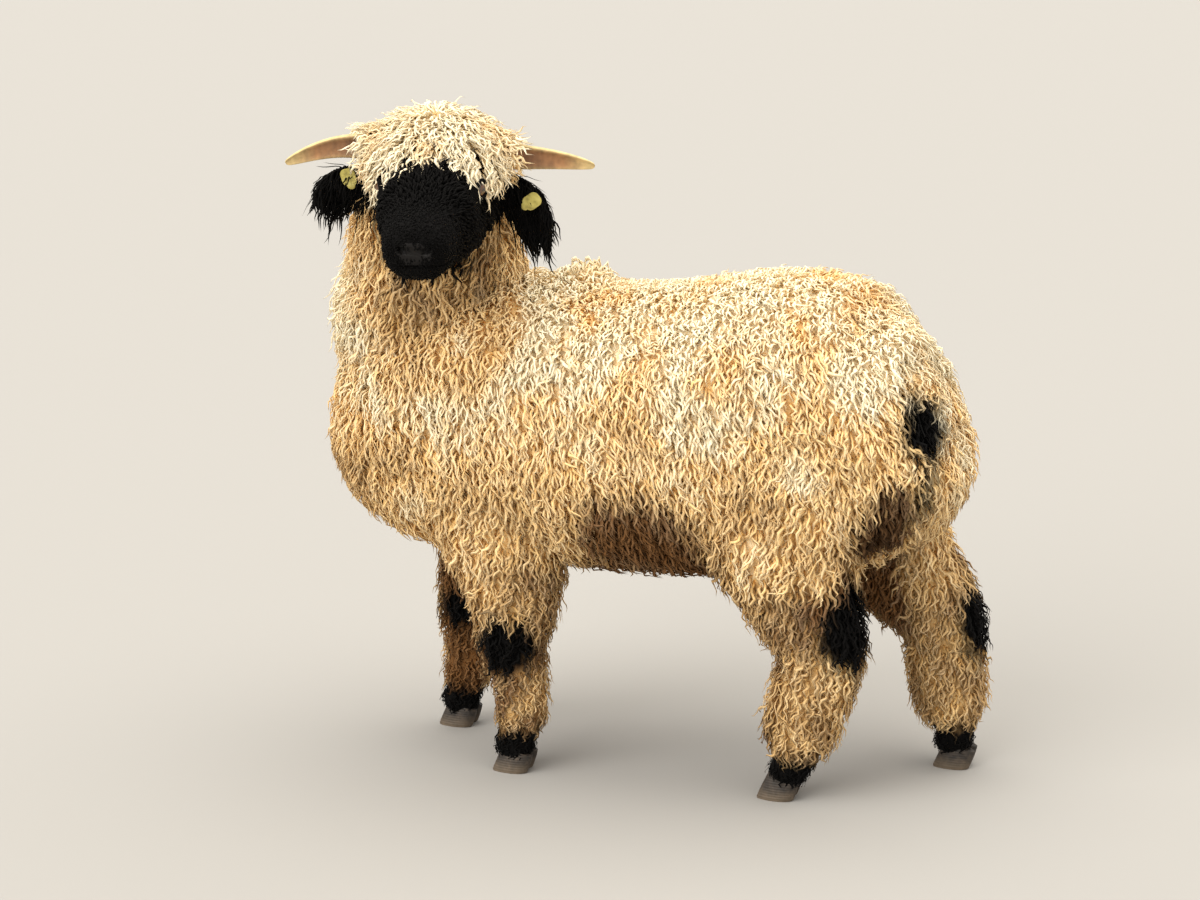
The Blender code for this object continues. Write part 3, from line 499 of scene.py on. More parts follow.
def in_patch(point):
    """How far a place lies inside one of the black patches of legs and tail."""
    best = -1.0
    for centre, radii in BLACK_PATCHES:
        offset = point - centre
        reach = math.sqrt(sum((offset[i] / radii[i]) ** 2 for i in range(3)))
        best = max(best, 1.0 - reach + ragged(point, 0.016, 0.22))
    foot = (FOOT_BLACK_TOP - point.z) / 0.02 + ragged(point, 0.014, 0.8)
    return max(best * 4.0, foot)


def on_face(point):
    """How far a place lies inside the black of the face."""
    along, _, lift = to_head(point)
    if along < -0.05 or lift < -0.118:
        return -1.0
    cheek = max(0.0, 1.0 - abs(lift + 0.012) / 0.050)
    edge = 0.044 - 0.050 * cheek + 0.40 * max(0.0, lift - 0.030)
    return (along - edge) / 0.014 + ragged(point, 0.018, 0.9)


def in_cleft_shadow(point):
    """How far a place lies inside the painted shadow of the gap between the thighs, below the tail."""
    top, bottom = THIGH_CLEFT_SHADOW
    line = bottom - top
    share = max(0.0, min(1.0, (point - top).dot(line) / line.length_squared))
    return 1.3 - (point - top - line * share).length / 0.036 + ragged(point, 0.020, 0.5)


def on_nose(place, across, lift, margin=1.0):
    """Whether head coordinates lie on the bare skin between the nostrils."""
    wide, high = NOSE_RADII
    return place > 0.250 and (across / wide) ** 2 + ((lift - 0.001) / high) ** 2 < margin ** 2


def mouth_lift(along):
    """Lift of the line of the mouth at a distance from the back of the skull."""
    return -0.018 - 0.010 * (HEAD_LENGTH - along) / 0.08


def blackness_and_cleft_shadow(point):
    """1 where the wool is black, 0 where it is cream, and up to 0.8 where painted shadow darkens the gap
    between the thighs.
    """
    marked = min(1.0, max(0.0, 0.5 + max(in_patch(point), on_face(point))))
    return max(marked, min(0.8, max(0.0, in_cleft_shadow(point))))


def soiling_and_shade(point):
    """How brown the wool is: paler up the back and over the crown as a painted top light, greasy on the
    flanks, dusty on the lower legs, and soiled and darkened with painted shade under the belly, behind the
    elbow, between the legs, at the throat under the chin and in the gap between the thighs."""
    # Paler the higher the wool lies on the back and crown: a painted top light
    height = point.z - 0.50
    worn = 0.36 - 1.5 * max(0.0, min(0.24, height))
    # Painted shade under the belly between the legs and behind the elbow, with real soiling there too
    between_legs = min((point.x + 0.12) / 0.10, (0.27 - point.x) / 0.10)
    inside = min((0.09 - abs(point.y)) / 0.05, (point.x + 0.36) / 0.06, (0.46 - point.x) / 0.06)
    soil_and_shade_between_legs = max(0.0, min(1.0, max(between_legs, inside)))
    belly = (0.49 - point.z) / 0.12
    elbow = 1.5 - math.sqrt(((point.x - 0.04) / 0.13) ** 2 + ((point.z - 0.42) / 0.090) ** 2)
    worn = max(worn, belly * 0.9 * soil_and_shade_between_legs, elbow * soil_and_shade_between_legs)
    if point.z < 0.36:
        worn = max(worn, 0.62)
    # Painted shade along the middle of the underside, between the legs
    if point.z < 0.50:
        worn = max(worn, 0.9 * (1.0 - abs(point.y) / 0.09))
    along, across, lift = to_head(point)
    # Painted shade at the throat, under the chin
    if lift < -0.02:
        aside = max(0.0, abs(across) - 0.07)
        below = max(0.0, -0.16 - lift)
        worn = max(worn, 0.62 - 6.0 * aside - 4.0 * below + 5.0 * min(0.0, 0.07 + along))
    # Painted shadow in the gap between the thighs, browned here as well as darkened in the black value
    worn = max(worn, in_cleft_shadow(point) + 0.5)
    stain = 0.30 * noise.noise(point / 0.09) + 0.25 * noise.noise(point / 0.035)
    return min(1.0, max(0.0, worn + stain))


# Colours and materials

WOOL_PALE_AND_TOP_LIT = "fff7dd"
WOOL_GREASY = "ffd58a"
WOOL_DUSTY_AND_SHADED = "c8a062"
WOOL_SOILED_AND_SHADED = "76512c"
WOOL_TIP = "fff5dc"

# Kinds of node, and what lets a mix node mix colours: factor 0, first 6 and second 7
ATTRIBUTE = "ShaderNodeAttribute"
BUMP = "ShaderNodeBump"
MATHS = "ShaderNodeMath"
MIX = "ShaderNodeMix"
NOISE = "ShaderNodeTexNoise"
RAMP = "ShaderNodeValToRGB"
RANDOM = "FunctionNodeRandomValue"
STORE = "GeometryNodeStoreNamedAttribute"
TURN = "FunctionNodeAlignRotationToVector"
VECTOR = "ShaderNodeVectorMath"
COLOURS = {"output": 2, "data_type": "RGBA"}


def linear(hex_colour):
    """sRGB hex to linear red, green, blue and alpha."""
    values = [int(hex_colour[i:i + 2], 16) / 255 for i in (0, 2, 4)]
    return (*(v / 12.92 if v <= 0.04045 else ((v + 0.055) / 1.055) ** 2.4 for v in values), 1.0)


def feed(node, inputs):
    """Gives inputs of a node, by name or number, their values, or links them to sockets."""
    for key, value in inputs.items():
        if isinstance(value, bpy.types.NodeSocket):
            node.id_data.links.new(value, node.inputs[key])
        else:
            node.inputs[key].default_value = value


def add_node(tree, kind, inputs=None, output=0, stops=(), **settings):
    """Adds a node with its settings and links, and returns one of its outputs where it has any;
    stops are the places and hex colours of a ramp."""
    made = tree.nodes.new(kind)
    for key, value in settings.items():
        setattr(made, key, value)
    feed(made, inputs or {})
    elements = made.color_ramp.elements if stops else ()
    while len(elements) < len(stops):
        elements.new(0.5)
    for element, (position, colour) in zip(elements, stops):
        element.position = position
        element.color = linear(colour)
    return made.outputs[output] if len(made.outputs) else None


def start_material(name):
    """New material, what adds a node to it, its shader and its Object coordinates."""
    made = bpy.data.materials.new(name)
    made.use_nodes = True
    add = partial(add_node, made.node_tree)
    shader = made.node_tree.nodes["Principled BSDF"]
    return made, add, shader, add("ShaderNodeTexCoord", output="Object")


def raw_wool(name, matted):
    """Greasy raw wool: matt fibre, yellow with lanolin, bleached and drier at its tips, paler up the back
    as a painted top light, dusty brown where it is soiled and where painted shade lies under the body and
    throat, and brown-black where the marking is and in the painted shadow between the thighs."""
    made, add, shader, place = start_material(name)
    along, soil, tone, black = (
        add(ATTRIBUTE, output="Fac", attribute_name=key) for key in ("along", "soil", "tone", "black")
    )
    # Grease differs from staple to staple over about 40 mm
    patches = add(NOISE, {"Vector": place, "Scale": 24.0, "Detail": 3.0})
    # Curls of the matted undercoat are about 7 mm across and swirl; fibres differ over about 3 mm
    curls = {"Scale": 140.0, "Detail": 3.0, "Distortion": 1.6}
    fibres = {"Scale": 330.0, "Detail": 2.0}
    pattern = add(NOISE, {"Vector": place, **(curls if matted else fibres)})
    greasy = add(MATHS, {0: patches, 1: 0.30}, operation="MULTIPLY")
    worn = add(MATHS, {0: soil, 1: greasy}, operation="ADD")
    # High values are soiling and painted shade under the body and throat; low values up the back are a
    # painted top light
    colours = ((0.10, WOOL_PALE_AND_TOP_LIT), (0.42, WOOL_GREASY), (0.75, WOOL_DUSTY_AND_SHADED), (1.0, WOOL_SOILED_AND_SHADED))
    fleece = add(RAMP, {0: worn}, stops=colours)
    # Wool is lighter towards its tips and from lock to lock, but soiled wool and wool with painted shade
    # keep dark tips too
    clean = add(MATHS, {0: 1.05, 1: soil}, operation="SUBTRACT")
    near_tip = add(MATHS, {0: along, 1: 0.40}, operation="MULTIPLY")
    by_lock = add(MATHS, {0: tone, 1: 0.30}, operation="MULTIPLY")
    lighter = add(MATHS, {0: near_tip, 1: by_lock}, operation="ADD")
    share = add(MATHS, {0: clean, 1: lighter}, operation="MULTIPLY")
    varied = add(MIX, {0: share, 6: fleece, 7: linear(WOOL_TIP)}, **COLOURS)
    roots = add(RAMP, {0: along}, stops=((0.0, "f2d9ac"), (0.4, "ffffff")))
    rooted = 0.0 if matted else 0.8
    shaded = add(MIX, {0: rooted, 6: varied, 7: roots}, blend_type="MULTIPLY", **COLOURS)
    dark = add(RAMP, {0: along}, stops=((0.0, "030202"), (0.6, "050404"), (1.0, "0c0908")))
    # The black value darkens the marking, and also the painted shadow in the gap between the thighs
    colour = add(MIX, {0: black, 6: shaded, 7: dark}, **COLOURS)
    # The grain pattern also drives the bump; its low pits are darker, a painted shade in the pits of the
    # curls and between fibres
    pit_shade = "f2dcb0" if matted else "f4e8d2"
    grain_and_pit_shade = add(RAMP, {0: pattern}, stops=((0.32, pit_shade), (0.56, "ffffff")))
    strength = 0.8 if matted else 0.35
    height = 0.004 if matted else 0.0012
    feed(shader, {
        "Base Color": add(MIX, {0: 0.8, 6: colour, 7: grain_and_pit_shade}, blend_type="MULTIPLY", **COLOURS),
        "Roughness": 0.85,
        "Specular IOR Level": 0.12,
        "Normal": add(BUMP, {"Height": pattern, "Strength": strength, "Distance": height}),
    })
    return made


def horn_keratin():
    """Horn keratin, grown in rings: satin, brown that darkens towards the root, with a painted pale yellow
    highlight along its edges that leaves its front hollow brown as painted shade, and pale at the tip.
    """
    made, add, shader, place = start_material("horn keratin, ringed")
    along = add(ATTRIBUTE, output="Fac", attribute_name="along")
    edge = add(ATTRIBUTE, output="Fac", attribute_name="edge")
    clouds = add(NOISE, {"Vector": place, "Scale": 14.0, "Detail": 3.0})
    streaks = add(NOISE, {"Vector": place, "Scale": 90.0, "Detail": 4.0})
    # Growth rings stand about 8 mm apart
    turns = add(MATHS, {0: along, 1: 150.0}, operation="MULTIPLY")
    wave = add(MATHS, {0: turns}, operation="SINE")
    browns = ((0.0, "5a3a26"), (0.4, "85563a"), (0.75, "b07c50"), (0.95, "e2c588"))
    body = add(RAMP, {0: along}, stops=browns)
    # Pale yellow where the edge value is high, along the top and bottom edges and over the back: a painted
    # highlight, which leaves the front hollow brown as painted shade
    pale = add(MATHS, {0: edge, 1: 6.0}, operation="POWER")
    rim_highlight_and_hollow_shade = add(MIX, {0: pale, 6: body, 7: linear("efd695")}, **COLOURS)
    cloudy = add(MATHS, {0: clouds, 1: 0.15}, operation="MULTIPLY")
    shaded = add(MIX, {0: cloudy, 6: rim_highlight_and_hollow_shade, 7: linear("d9ba84")}, **COLOURS)
    fine = add(RAMP, {0: streaks}, stops=((0.3, "9b9b9b"), (0.7, "ffffff")))
    ridged = add(BUMP, {"Height": wave, "Strength": 0.2, "Distance": 0.0006})
    feed(shader, {
        "Base Color": add(MIX, {0: 0.6, 6: shaded, 7: fine}, blend_type="MULTIPLY", **COLOURS),
        "Roughness": 0.45,
        "IOR": 1.54,
        "Normal": add(BUMP, {"Height": streaks, "Strength": 0.4, "Distance": 0.0006, "Normal": ridged}),
    })
    return made


def hoof_horn():
    """Hoof horn: grey-brown and dull, with fine rings level with the coronet and dust at the sole."""
    made, add, shader, place = start_material("hoof horn, worn")
    height = add("ShaderNodeSeparateXYZ", {0: place}, output="Z")
    streaks = add(NOISE, {"Vector": place, "Scale": 120.0, "Detail": 4.0})
    body = add(RAMP, {0: streaks}, stops=((0.3, "1f1a16"), (0.6, "3a3129"), (0.8, "5a4c3e")))
    # Dust reaches about 20 mm up from the sole, and rings stand about 4 mm apart
    dusty = add(MATHS, {0: height, 1: 24.0}, operation="MULTIPLY")
    dust = add(RAMP, {0: dusty}, stops=((0.0, "7a6a55"), (0.5, "000000")))
    turns = add(MATHS, {0: height, 1: 1600.0}, operation="MULTIPLY")
    rings = add(MATHS, {0: turns}, operation="SINE")
    feed(shader, {
        "Base Color": add(MIX, {0: 0.5, 6: body, 7: dust}, blend_type="ADD", **COLOURS),
        "Roughness": 0.6,
        "Normal": add(BUMP, {"Height": rings, "Strength": 0.3, "Distance": 0.0005}),
    })
    return made


def glass_eye():
    """Glass eye: clear and wet, amber-brown iris, a wide level pupil and a dark rim."""
    made, add, shader, place = start_material("glass eye, amber")
    gaze = add(ATTRIBUTE, output="Vector", attribute_name="gaze")
    split = add("ShaderNodeSeparateXYZ", {0: gaze}).node.outputs
    level = add(MATHS, {0: split["X"], 1: 2.0}, operation="POWER")
    upright = add(MATHS, {0: split["Y"], 1: 2.0}, operation="POWER")
    squares = add(MATHS, {0: level, 1: upright}, operation="ADD")
    radius = add(MATHS, {0: squares}, operation="SQRT")
    # The pupil is a level slot, so height counts for more than width
    steep = add(MATHS, {0: upright, 1: 5.8}, operation="MULTIPLY")
    squeezed = add(MATHS, {0: level, 1: steep}, operation="ADD")
    slot = add(MATHS, {0: squeezed}, operation="SQRT")
    streaks = add(NOISE, {"Vector": place, "Scale": 600.0, "Detail": 2.0})
    iris = add(RAMP, {0: streaks}, stops=((0.3, "2c180a"), (0.7, "6e4418")))
    rim = add(RAMP, {0: radius}, stops=((0.50, "000000"), (0.66, "ffffff")))
    ringed = add(MIX, {0: rim, 6: iris, 7: linear("120b07")}, **COLOURS)
    pupil = add(RAMP, {0: slot}, stops=((0.38, "ffffff"), (0.44, "000000")))
    feed(shader, {
        "Base Color": add(MIX, {0: pupil, 6: ringed, 7: linear("020202")}, **COLOURS),
        "Roughness": 0.06,
        "Coat Weight": 1.0,
        "Coat Roughness": 0.02,
    })
    return made


def tag_plastic():
    """Polyurethane ear tag, moulded: olive yellow, matt, a little grimy, with bare faces."""
    made, add, shader, place = start_material("polyurethane tag, yellow")
    grime = add(NOISE, {"Vector": place, "Scale": 110.0, "Detail": 5.0})
    feed(shader, {
        "Base Color": add(RAMP, {0: grime}, stops=((0.25, "7d7238"), (0.5, "bdb05c"), (0.8, "d4c878"))),
        "Roughness": 0.5,
        "Normal": add(BUMP, {"Height": grime, "Strength": 0.15, "Distance": 0.0004}),
    })
    return made


def nose_skin():
    """Bare nose and lip skin: black, moist and finely pebbled."""
    made, add, shader, place = start_material("nose skin, moist black")
    pebbles = add("ShaderNodeTexVoronoi", {"Vector": place, "Scale": 700.0})
    feed(shader, {
        "Base Color": add(RAMP, {0: pebbles}, stops=((0.0, "14100e"), (1.0, "070505"))),
        "Roughness": 0.60,
        "Specular IOR Level": 0.25,
        "Normal": add(BUMP, {"Height": pebbles, "Strength": 0.35, "Distance": 0.0006}),
    })
    return made


def studio_floor():
    """Plain pale studio floor, matt."""
    made, _, shader, _ = start_material("studio floor, matt paint")
    feed(shader, {"Base Color": linear("a3a19e"), "Roughness": 0.9})
    return made


WOOL = raw_wool("raw wool in locks", False)
UNDERCOAT = raw_wool("raw wool, matted undercoat", True)
HORN_KERATIN = horn_keratin()
HOOF_HORN = hoof_horn()
GLASS_EYE = glass_eye()
TAG_PLASTIC = tag_plastic()
NOSE_SKIN = nose_skin()


# The hide: one skin over head, neck, torso, tail and legs

def mouth_groove():
    """Cutter along the line of the mouth, from one corner round the lips to the other."""
    form = FORMS["head"]
    left = []
    for along in (0.188, 0.206, 0.224, 0.240, 0.252, 0.262, 0.267):
        centre, side, rise, half_width, _, down = form.section(head_time(along), FACE_DEPTH)
        drop = mouth_lift(along) / down
        spread = (1 - min(1.0, abs(drop)) ** SECTION_POWER) ** (1 / SECTION_POWER)
        left.append((centre + rise * drop * down, side * half_width * spread))
    points = [centre + side for centre, side in left]
    points += [centre - side for centre, side in reversed(left)]
    radii = [0.0020] + [0.0036] * (len(points) - 2) + [0.0020]
    return tube("mouth", points, radii, sides=8)


def nostril(sign):
    """Comma-shaped cutter of one nostril."""
    points = []
    for k in range(5):
        f = k / 4
        across = sign * (0.012 + 0.018 * f)
        lift = 0.001 + 0.015 * f - 0.006 * f * f
        points.append(on_head(0.2715 - 0.016 * f, across, lift))
    return tube("nostril", points, (0.0045, 0.0058, 0.0052, 0.0040, 0.0022), sides=8)


def head_flesh():
    """Skull, cheeks, brows and lips, with mouth and nostrils cut into them."""
    meshes = [loft("head_flesh", FORMS["head"], FACE_DEPTH, 40, 40)]
    for sign in (-1, 1):
        meshes.append(ball("cheek", on_head(0.075, sign * 0.046, -0.030), (0.050, 0.028, 0.046)))
        meshes.append(ball("brow", on_head(0.080, sign * 0.050, 0.040), (0.030, 0.024, 0.016)))
        meshes.append(ball("upper_lip", on_head(0.244, sign * 0.021, -0.006), (0.024, 0.024, 0.017)))
        meshes.append(lids(sign))
    meshes.append(ball("lower_lip", on_head(0.236, 0.0, -0.036), (0.028, 0.027, 0.015)))
    meshes.append(crown_ball())
    return meshes


def lids(sign):
    """Almond-shaped rim of the lids round one eye."""
    out = eye_out(sign)
    along = (FACING - out * FACING.dot(out)).normalized()
    up = out.cross(along) * sign
    centre = eye_centre(sign) + out * EYE_RADIUS * 0.62
    count = 24
    sides = 8
    bm = bmesh.new()
    rings = []
    for k in range(count):
        c = math.cos(2 * math.pi * k / count)
        s = math.sin(2 * math.pi * k / count)
        middle = centre + along * c * 0.0165 + up * s * abs(s) ** 0.3 * 0.0125
        outward = (along * c + up * s).normalized()
        thick = 0.0048 if s > 0 else 0.0040
        ring = []
        for j in range(sides):
            angle = 2 * math.pi * j / sides
            offset = outward * math.cos(angle) + out * math.sin(angle)
            ring.append(bm.verts.new(middle + offset * thick))
        rings.append(ring)
    for i in range(count):
        lower, upper = rings[i], rings[(i + 1) % count]
        for j in range(sides):
            n = (j + 1) % sides
            bm.faces.new((lower[j], lower[n], upper[n], upper[j]))
    return closed_mesh("lids", bm)


def fused(name, meshes, voxel, triangles, rounds):
    """One closed skin over several meshes, smoothed and thinned where it is flat."""
    made = new_object(name, joined(name, meshes))
    remesh = made.modifiers.new("fuse", "REMESH")
    remesh.mode = "VOXEL"
    remesh.voxel_size = voxel
    remesh.use_smooth_shade = True
    relax = made.modifiers.new("relax", "SMOOTH")
    relax.factor = 0.5
    relax.iterations = rounds
    apply_modifiers(made)
    made.data.calc_loop_triangles()
    share = triangles / len(made.data.loop_triangles)
    if share < 1.0:
        thin = made.modifiers.new("thin", "DECIMATE")
        thin.ratio = share
        apply_modifiers(made)
    return made


def paint_point_values(mesh, **values):
    """Stores one number for each vertex under each name."""
    for name, numbers in values.items():
        layer = mesh.attributes.new(name, "FLOAT", "POINT")
        layer.data.foreach_set("value", numbers)


def make_hide():
    """The whole hide as one skin, with its markings, soiling and painted shade."""
    meshes = [
        loft("torso", FORMS["torso"], ROOT_DEPTH, 60, 56),
        loft("neck", FORMS["neck"], ROOT_DEPTH, 30, 40),
        loft("tail", FORMS["tail"], ROOT_DEPTH, 20, 20),
    ]
    for name in FEET:
        meshes.append(loft(f"leg_{name}", FORMS[f"leg_{name}"], ROOT_DEPTH, 60, 28))
    hide = fused("hide", meshes + head_flesh(), HIDE_VOXEL, HIDE_TRIANGLES, 3)
    hide.data = cut_away(hide.data, [mouth_groove(), nostril(-1), nostril(1)])
    mesh = hide.data
    places = [vertex.co.copy() for vertex in mesh.vertices]
    paint_point_values(
        mesh,
        black=[blackness_and_cleft_shadow(place) for place in places],
        soil=[soiling_and_shade(place) for place in places],
        along=[0.3] * len(places),
        tone=[0.3] * len(places),
    )
    smooth(mesh)
    for face in mesh.polygons:
        face.material_index = 1 if on_nose(*to_head(face.center), margin=NOSE_UNDER_FUR) else 0
    flesh = ["head", "neck", "torso", "tail"] + [f"leg_{name}" for name in FEET]
    return dress(hide, "fleece", flesh, UNDERCOAT, NOSE_SKIN)


# Locks: small closed tubes that Geometry Nodes plant on the hide

def lock_mesh(name, length, lift, width, turns, curl, bands, rng):
    """One curled lock from its root at the origin, along +Y and up +Z, tapering to its tip."""
    points = []
    start = rng.uniform(0, 2 * math.pi)
    bend = rng.uniform(-0.10, 0.10)
    for k in range(bands + 1):
        f = k / bands
        way = start + 2 * math.pi * turns * f
        reach = curl * math.sqrt(f)
        x = reach * math.sin(way) + bend * length * f * f
        y = length * f ** 1.25
        z = lift * math.sin(0.5 * math.pi * min(1.0, 1.45 * f)) - 0.25 * lift * max(0.0, f - 0.6) / 0.4
        points.append(Vector((x, y - 0.5 * reach * math.sin(way), z + reach * math.cos(way))))
    points[0] = Vector((0, 0, -0.10 * lift))
    sides = 3
    rings = []
    side = Vector((1, 0, 0))
    for i, point in enumerate(points[:-1]):
        ahead = (points[i + 1] - points[max(i - 1, 0)]).normalized()
        side = (side - ahead * side.dot(ahead)).normalized()
        rise = ahead.cross(side)
        f = i / bands
        radius = 0.5 * width * (0.75 + 0.45 * math.sin(math.pi * min(1.0, f * 1.15)) - 0.35 * f ** 3)
        ring = []
        for j in range(sides):
            angle = 2 * math.pi * j / sides + 0.5 * math.pi
            ring.append(point + (side * math.cos(angle) + rise * 0.8 * math.sin(angle)) * radius)
        rings.append(ring)
    mesh = mesh_from_rings(name, rings, tip=points[-1])
    number = len(mesh.vertices)
    along = []
    across = []
    for vertex in range(number):
        ring = min(vertex // sides, bands)
        along.append(ring / bands)
        across.append((vertex % sides) / sides if vertex < number - 1 else 0.5)
    paint_point_values(mesh, along=along, across=across)
    return smooth(mesh)


def lock_family(name, count, seed, **sizes):
    """Collection of locks of one kind, each curled differently."""
    rng = random.Random(seed)
    family = bpy.data.collections.new(name)
    for i in range(count):
        turns = sizes["turns"] * rng.uniform(0.8, 1.25)
        curl = sizes["curl"] * rng.uniform(0.7, 1.3)
        shape = (sizes["length"], sizes["lift"], sizes["width"], turns, curl, sizes["bands"])
        mesh = lock_mesh(f"{name}_{i}", *shape, rng)
        family.objects.link(bpy.data.objects.new(mesh.name, mesh))
    return family


# What the coat tree reads at each point of a hide
HIDE_VALUES = ("length", "width", "lift", "density")
HIDE_VECTORS = ("out", "lie", "root_uv")


def coat_tree():
    """Geometry Nodes that plant locks over a hide by its stored density, lie and reach."""
    tree = bpy.data.node_groups.new("coat of locks", "GeometryNodeTree")
    sockets = (
        ("Hide", "NodeSocketGeometry", None),
        ("Locks", "NodeSocketCollection", None),
        ("Locks per square metre", "NodeSocketFloat", 24000.0),
        ("Stray", "NodeSocketFloat", 0.25),
        ("Gather", "NodeSocketFloat", 0.8),
        ("Gather size", "NodeSocketFloat", 0.045),
        ("Tuft", "NodeSocketFloat", 0.6),
        ("Tuft size", "NodeSocketFloat", 0.030),
        ("Seed", "NodeSocketInt", 0),
        ("Wool", "NodeSocketMaterial", None),
    )
    for name, kind, value in sockets:
        socket = tree.interface.new_socket(name=name, in_out="INPUT", socket_type=kind)
        if value is not None:
            socket.default_value = value
    tree.interface.new_socket(name="Coat", in_out="OUTPUT", socket_type="NodeSocketGeometry")
    add = partial(add_node, tree)
    given = add("NodeGroupInput").node.outputs
    stored = {}
    for name in HIDE_VALUES + HIDE_VECTORS + ("across", "along"):
        kind = "FLOAT_VECTOR" if name in HIDE_VECTORS else "FLOAT"
        stored[name] = add("GeometryNodeInputNamedAttribute", {"Name": name}, "Attribute", data_type=kind)

    # Each draw has a seed of its own: two ways to stray, three sizes and the tone
    seeds = [add(MATHS, {0: given["Seed"], 1: 11 + k}, operation="ADD") for k in range(6)]
    stray = []
    for seed in seeds[:2]:
        ends = {0: (-1.0, -1.0, -1.0), 1: (1.0, 1.0, 1.0)}
        way = add(RANDOM, {**ends, "Seed": seed}, data_type="FLOAT_VECTOR")
        stray.append(add(VECTOR, {0: way, "Scale": given["Stray"]}, operation="SCALE"))
    sizes = {}
    spread = (("X", "width", 0.70, 1.35), ("Y", "length", 0.70, 1.20), ("Z", "lift", 0.65, 1.10))
    for seed, (axis, name, low, high) in zip(seeds[2:5], spread):
        share = add(RANDOM, {2: low, 3: high, "Seed": seed}, 1, data_type="FLOAT")
        sizes[axis] = add(MATHS, {0: stored[name], 1: share}, operation="MULTIPLY")
    grown = add("ShaderNodeCombineXYZ", sizes)
    tone = add(RANDOM, {2: 0.0, 3: 1.0, "Seed": seeds[5]}, 1, data_type="FLOAT")

    # Locks lie as the hide says, drawn together by a wide noise and towards the middles of tufts
    density = add(
        MATHS, {0: given["Locks per square metre"], 1: stored["density"]}, operation="MULTIPLY"
    )
    planted = add(
        "GeometryNodeDistributePointsOnFaces",
        {"Mesh": given["Hide"], "Density": density, "Seed": given["Seed"]},
    )
    place = add("GeometryNodeInputPosition")
    often = add(MATHS, {0: 1.0, 1: given["Gather size"]}, operation="DIVIDE")
    gathering = add(NOISE, {"Vector": place, "Scale": often, "Detail": 1.0}, "Color")
    level = add(VECTOR, {0: gathering, 1: (0.5, 0.5, 0.5)}, operation="SUBTRACT")
    pull = add(VECTOR, {0: level, "Scale": given["Gather"]}, operation="SCALE")
    tufts = add(MATHS, {0: 1.0, 1: given["Tuft size"]}, operation="DIVIDE")
    middle = add("ShaderNodeTexVoronoi", {"Vector": place, "Scale": tufts}, "Position")
    to_tuft = add(VECTOR, {0: middle, 1: place}, operation="SUBTRACT")
    strength = add(MATHS, {0: given["Tuft"], 1: given["Tuft size"]}, operation="DIVIDE")
    closing = add(VECTOR, {0: to_tuft, "Scale": strength}, operation="SCALE")
    lie = stored["lie"]
    for force in (pull, closing, stray[0]):
        lie = add(VECTOR, {0: lie, 1: force}, operation="ADD")
    out = add(VECTOR, {0: stored["out"], 1: stray[1]}, operation="ADD")
    upright = add(TURN, {"Vector": out}, axis="Z")
    turned = add(TURN, {"Rotation": upright, "Vector": lie}, axis="Y", pivot_axis="Z")
    family = add("GeometryNodeCollectionInfo", {
        "Collection": given["Locks"], "Separate Children": True, "Reset Children": True,
    })
    toned = add(
        STORE, {"Geometry": planted, "Name": "tone", "Value": tone}, data_type="FLOAT", domain="POINT"
    )
    pick = add(RANDOM, {4: 0, 5: 40, "Seed": given["Seed"]}, 2, data_type="INT")
    locks = add("GeometryNodeInstanceOnPoints", {
        "Points": toned, "Instance": family, "Pick Instance": True,
        "Instance Index": pick, "Rotation": turned, "Scale": grown,
    })
    flow = add("GeometryNodeRealizeInstances", {"Geometry": locks})
    corner = add("ShaderNodeCombineXYZ", {"X": stored["across"], "Y": stored["along"]})
    inside = add(VECTOR, {0: corner, "Scale": PATCH}, operation="SCALE")
    unwrapped = add(VECTOR, {0: stored["root_uv"], 1: inside}, operation="ADD")
    flow = add(
        STORE, {"Geometry": flow, "Name": "OFBake", "Value": unwrapped}, data_type="FLOAT2", domain="CORNER"
    )
    for name in HIDE_VALUES + HIDE_VECTORS + ("across",):
        flow = add("GeometryNodeRemoveAttribute", {"Geometry": flow, "Name": name})
    add("NodeGroupOutput", {
        "Coat": add("GeometryNodeSetMaterial", {"Geometry": flow, "Material": given["Wool"]}),
    })
    return tree


COAT_TREE = coat_tree()

# Kinds of lock, with the length and lift that a scale of 1 stands for
FLEECE = {"length": 0.032, "lift": 0.016, "width": 0.0040, "turns": 1.4, "curl": 0.0036, "bands": 5}
CURL = {"length": 0.044, "lift": 0.018, "width": 0.0044, "turns": 1.8, "curl": 0.0042, "bands": 7}
FUR = {"length": 0.016, "lift": 0.008, "width": 0.0030, "turns": 1.0, "curl": 0.0016, "bands": 4}
HAIR = {"length": 0.075, "lift": 0.010, "width": 0.0030, "turns": 1.3, "curl": 0.0028, "bands": 7}
FAMILIES = {
    "fleece_lock": lock_family("fleece_lock", 10, SEED + 1, **FLEECE),
    "curl_lock": lock_family("curl_lock", 10, SEED + 4, **CURL),
    "fur_lock": lock_family("fur_lock", 6, SEED + 2, **FUR),
    "ear_hair": lock_family("ear_hair", 6, SEED + 3, **HAIR),
}


def grow_coat(name, hide_mesh, family, density, seed, stray=0.35, gather=0.9, gather_size=0.045, tuft=0.7):
    """Runs the coat tree over a hide mesh and returns the coat as a plain piece."""
    made = new_object(name, hide_mesh)
    modifier = made.modifiers.new("coat", "NODES")
    modifier.node_group = COAT_TREE
    values = {
        "Locks": FAMILIES[family],
        "Locks per square metre": density * 1.0,
        "Stray": stray,
        "Gather": gather,
        "Gather size": gather_size,
        "Tuft": tuft,
        "Seed": seed,
        "Wool": WOOL,
    }
    for item in COAT_TREE.interface.items_tree:
        if item.item_type == "SOCKET" and item.name in values:
            modifier[item.identifier] = values[item.name]
    apply_modifiers(made)
    return made


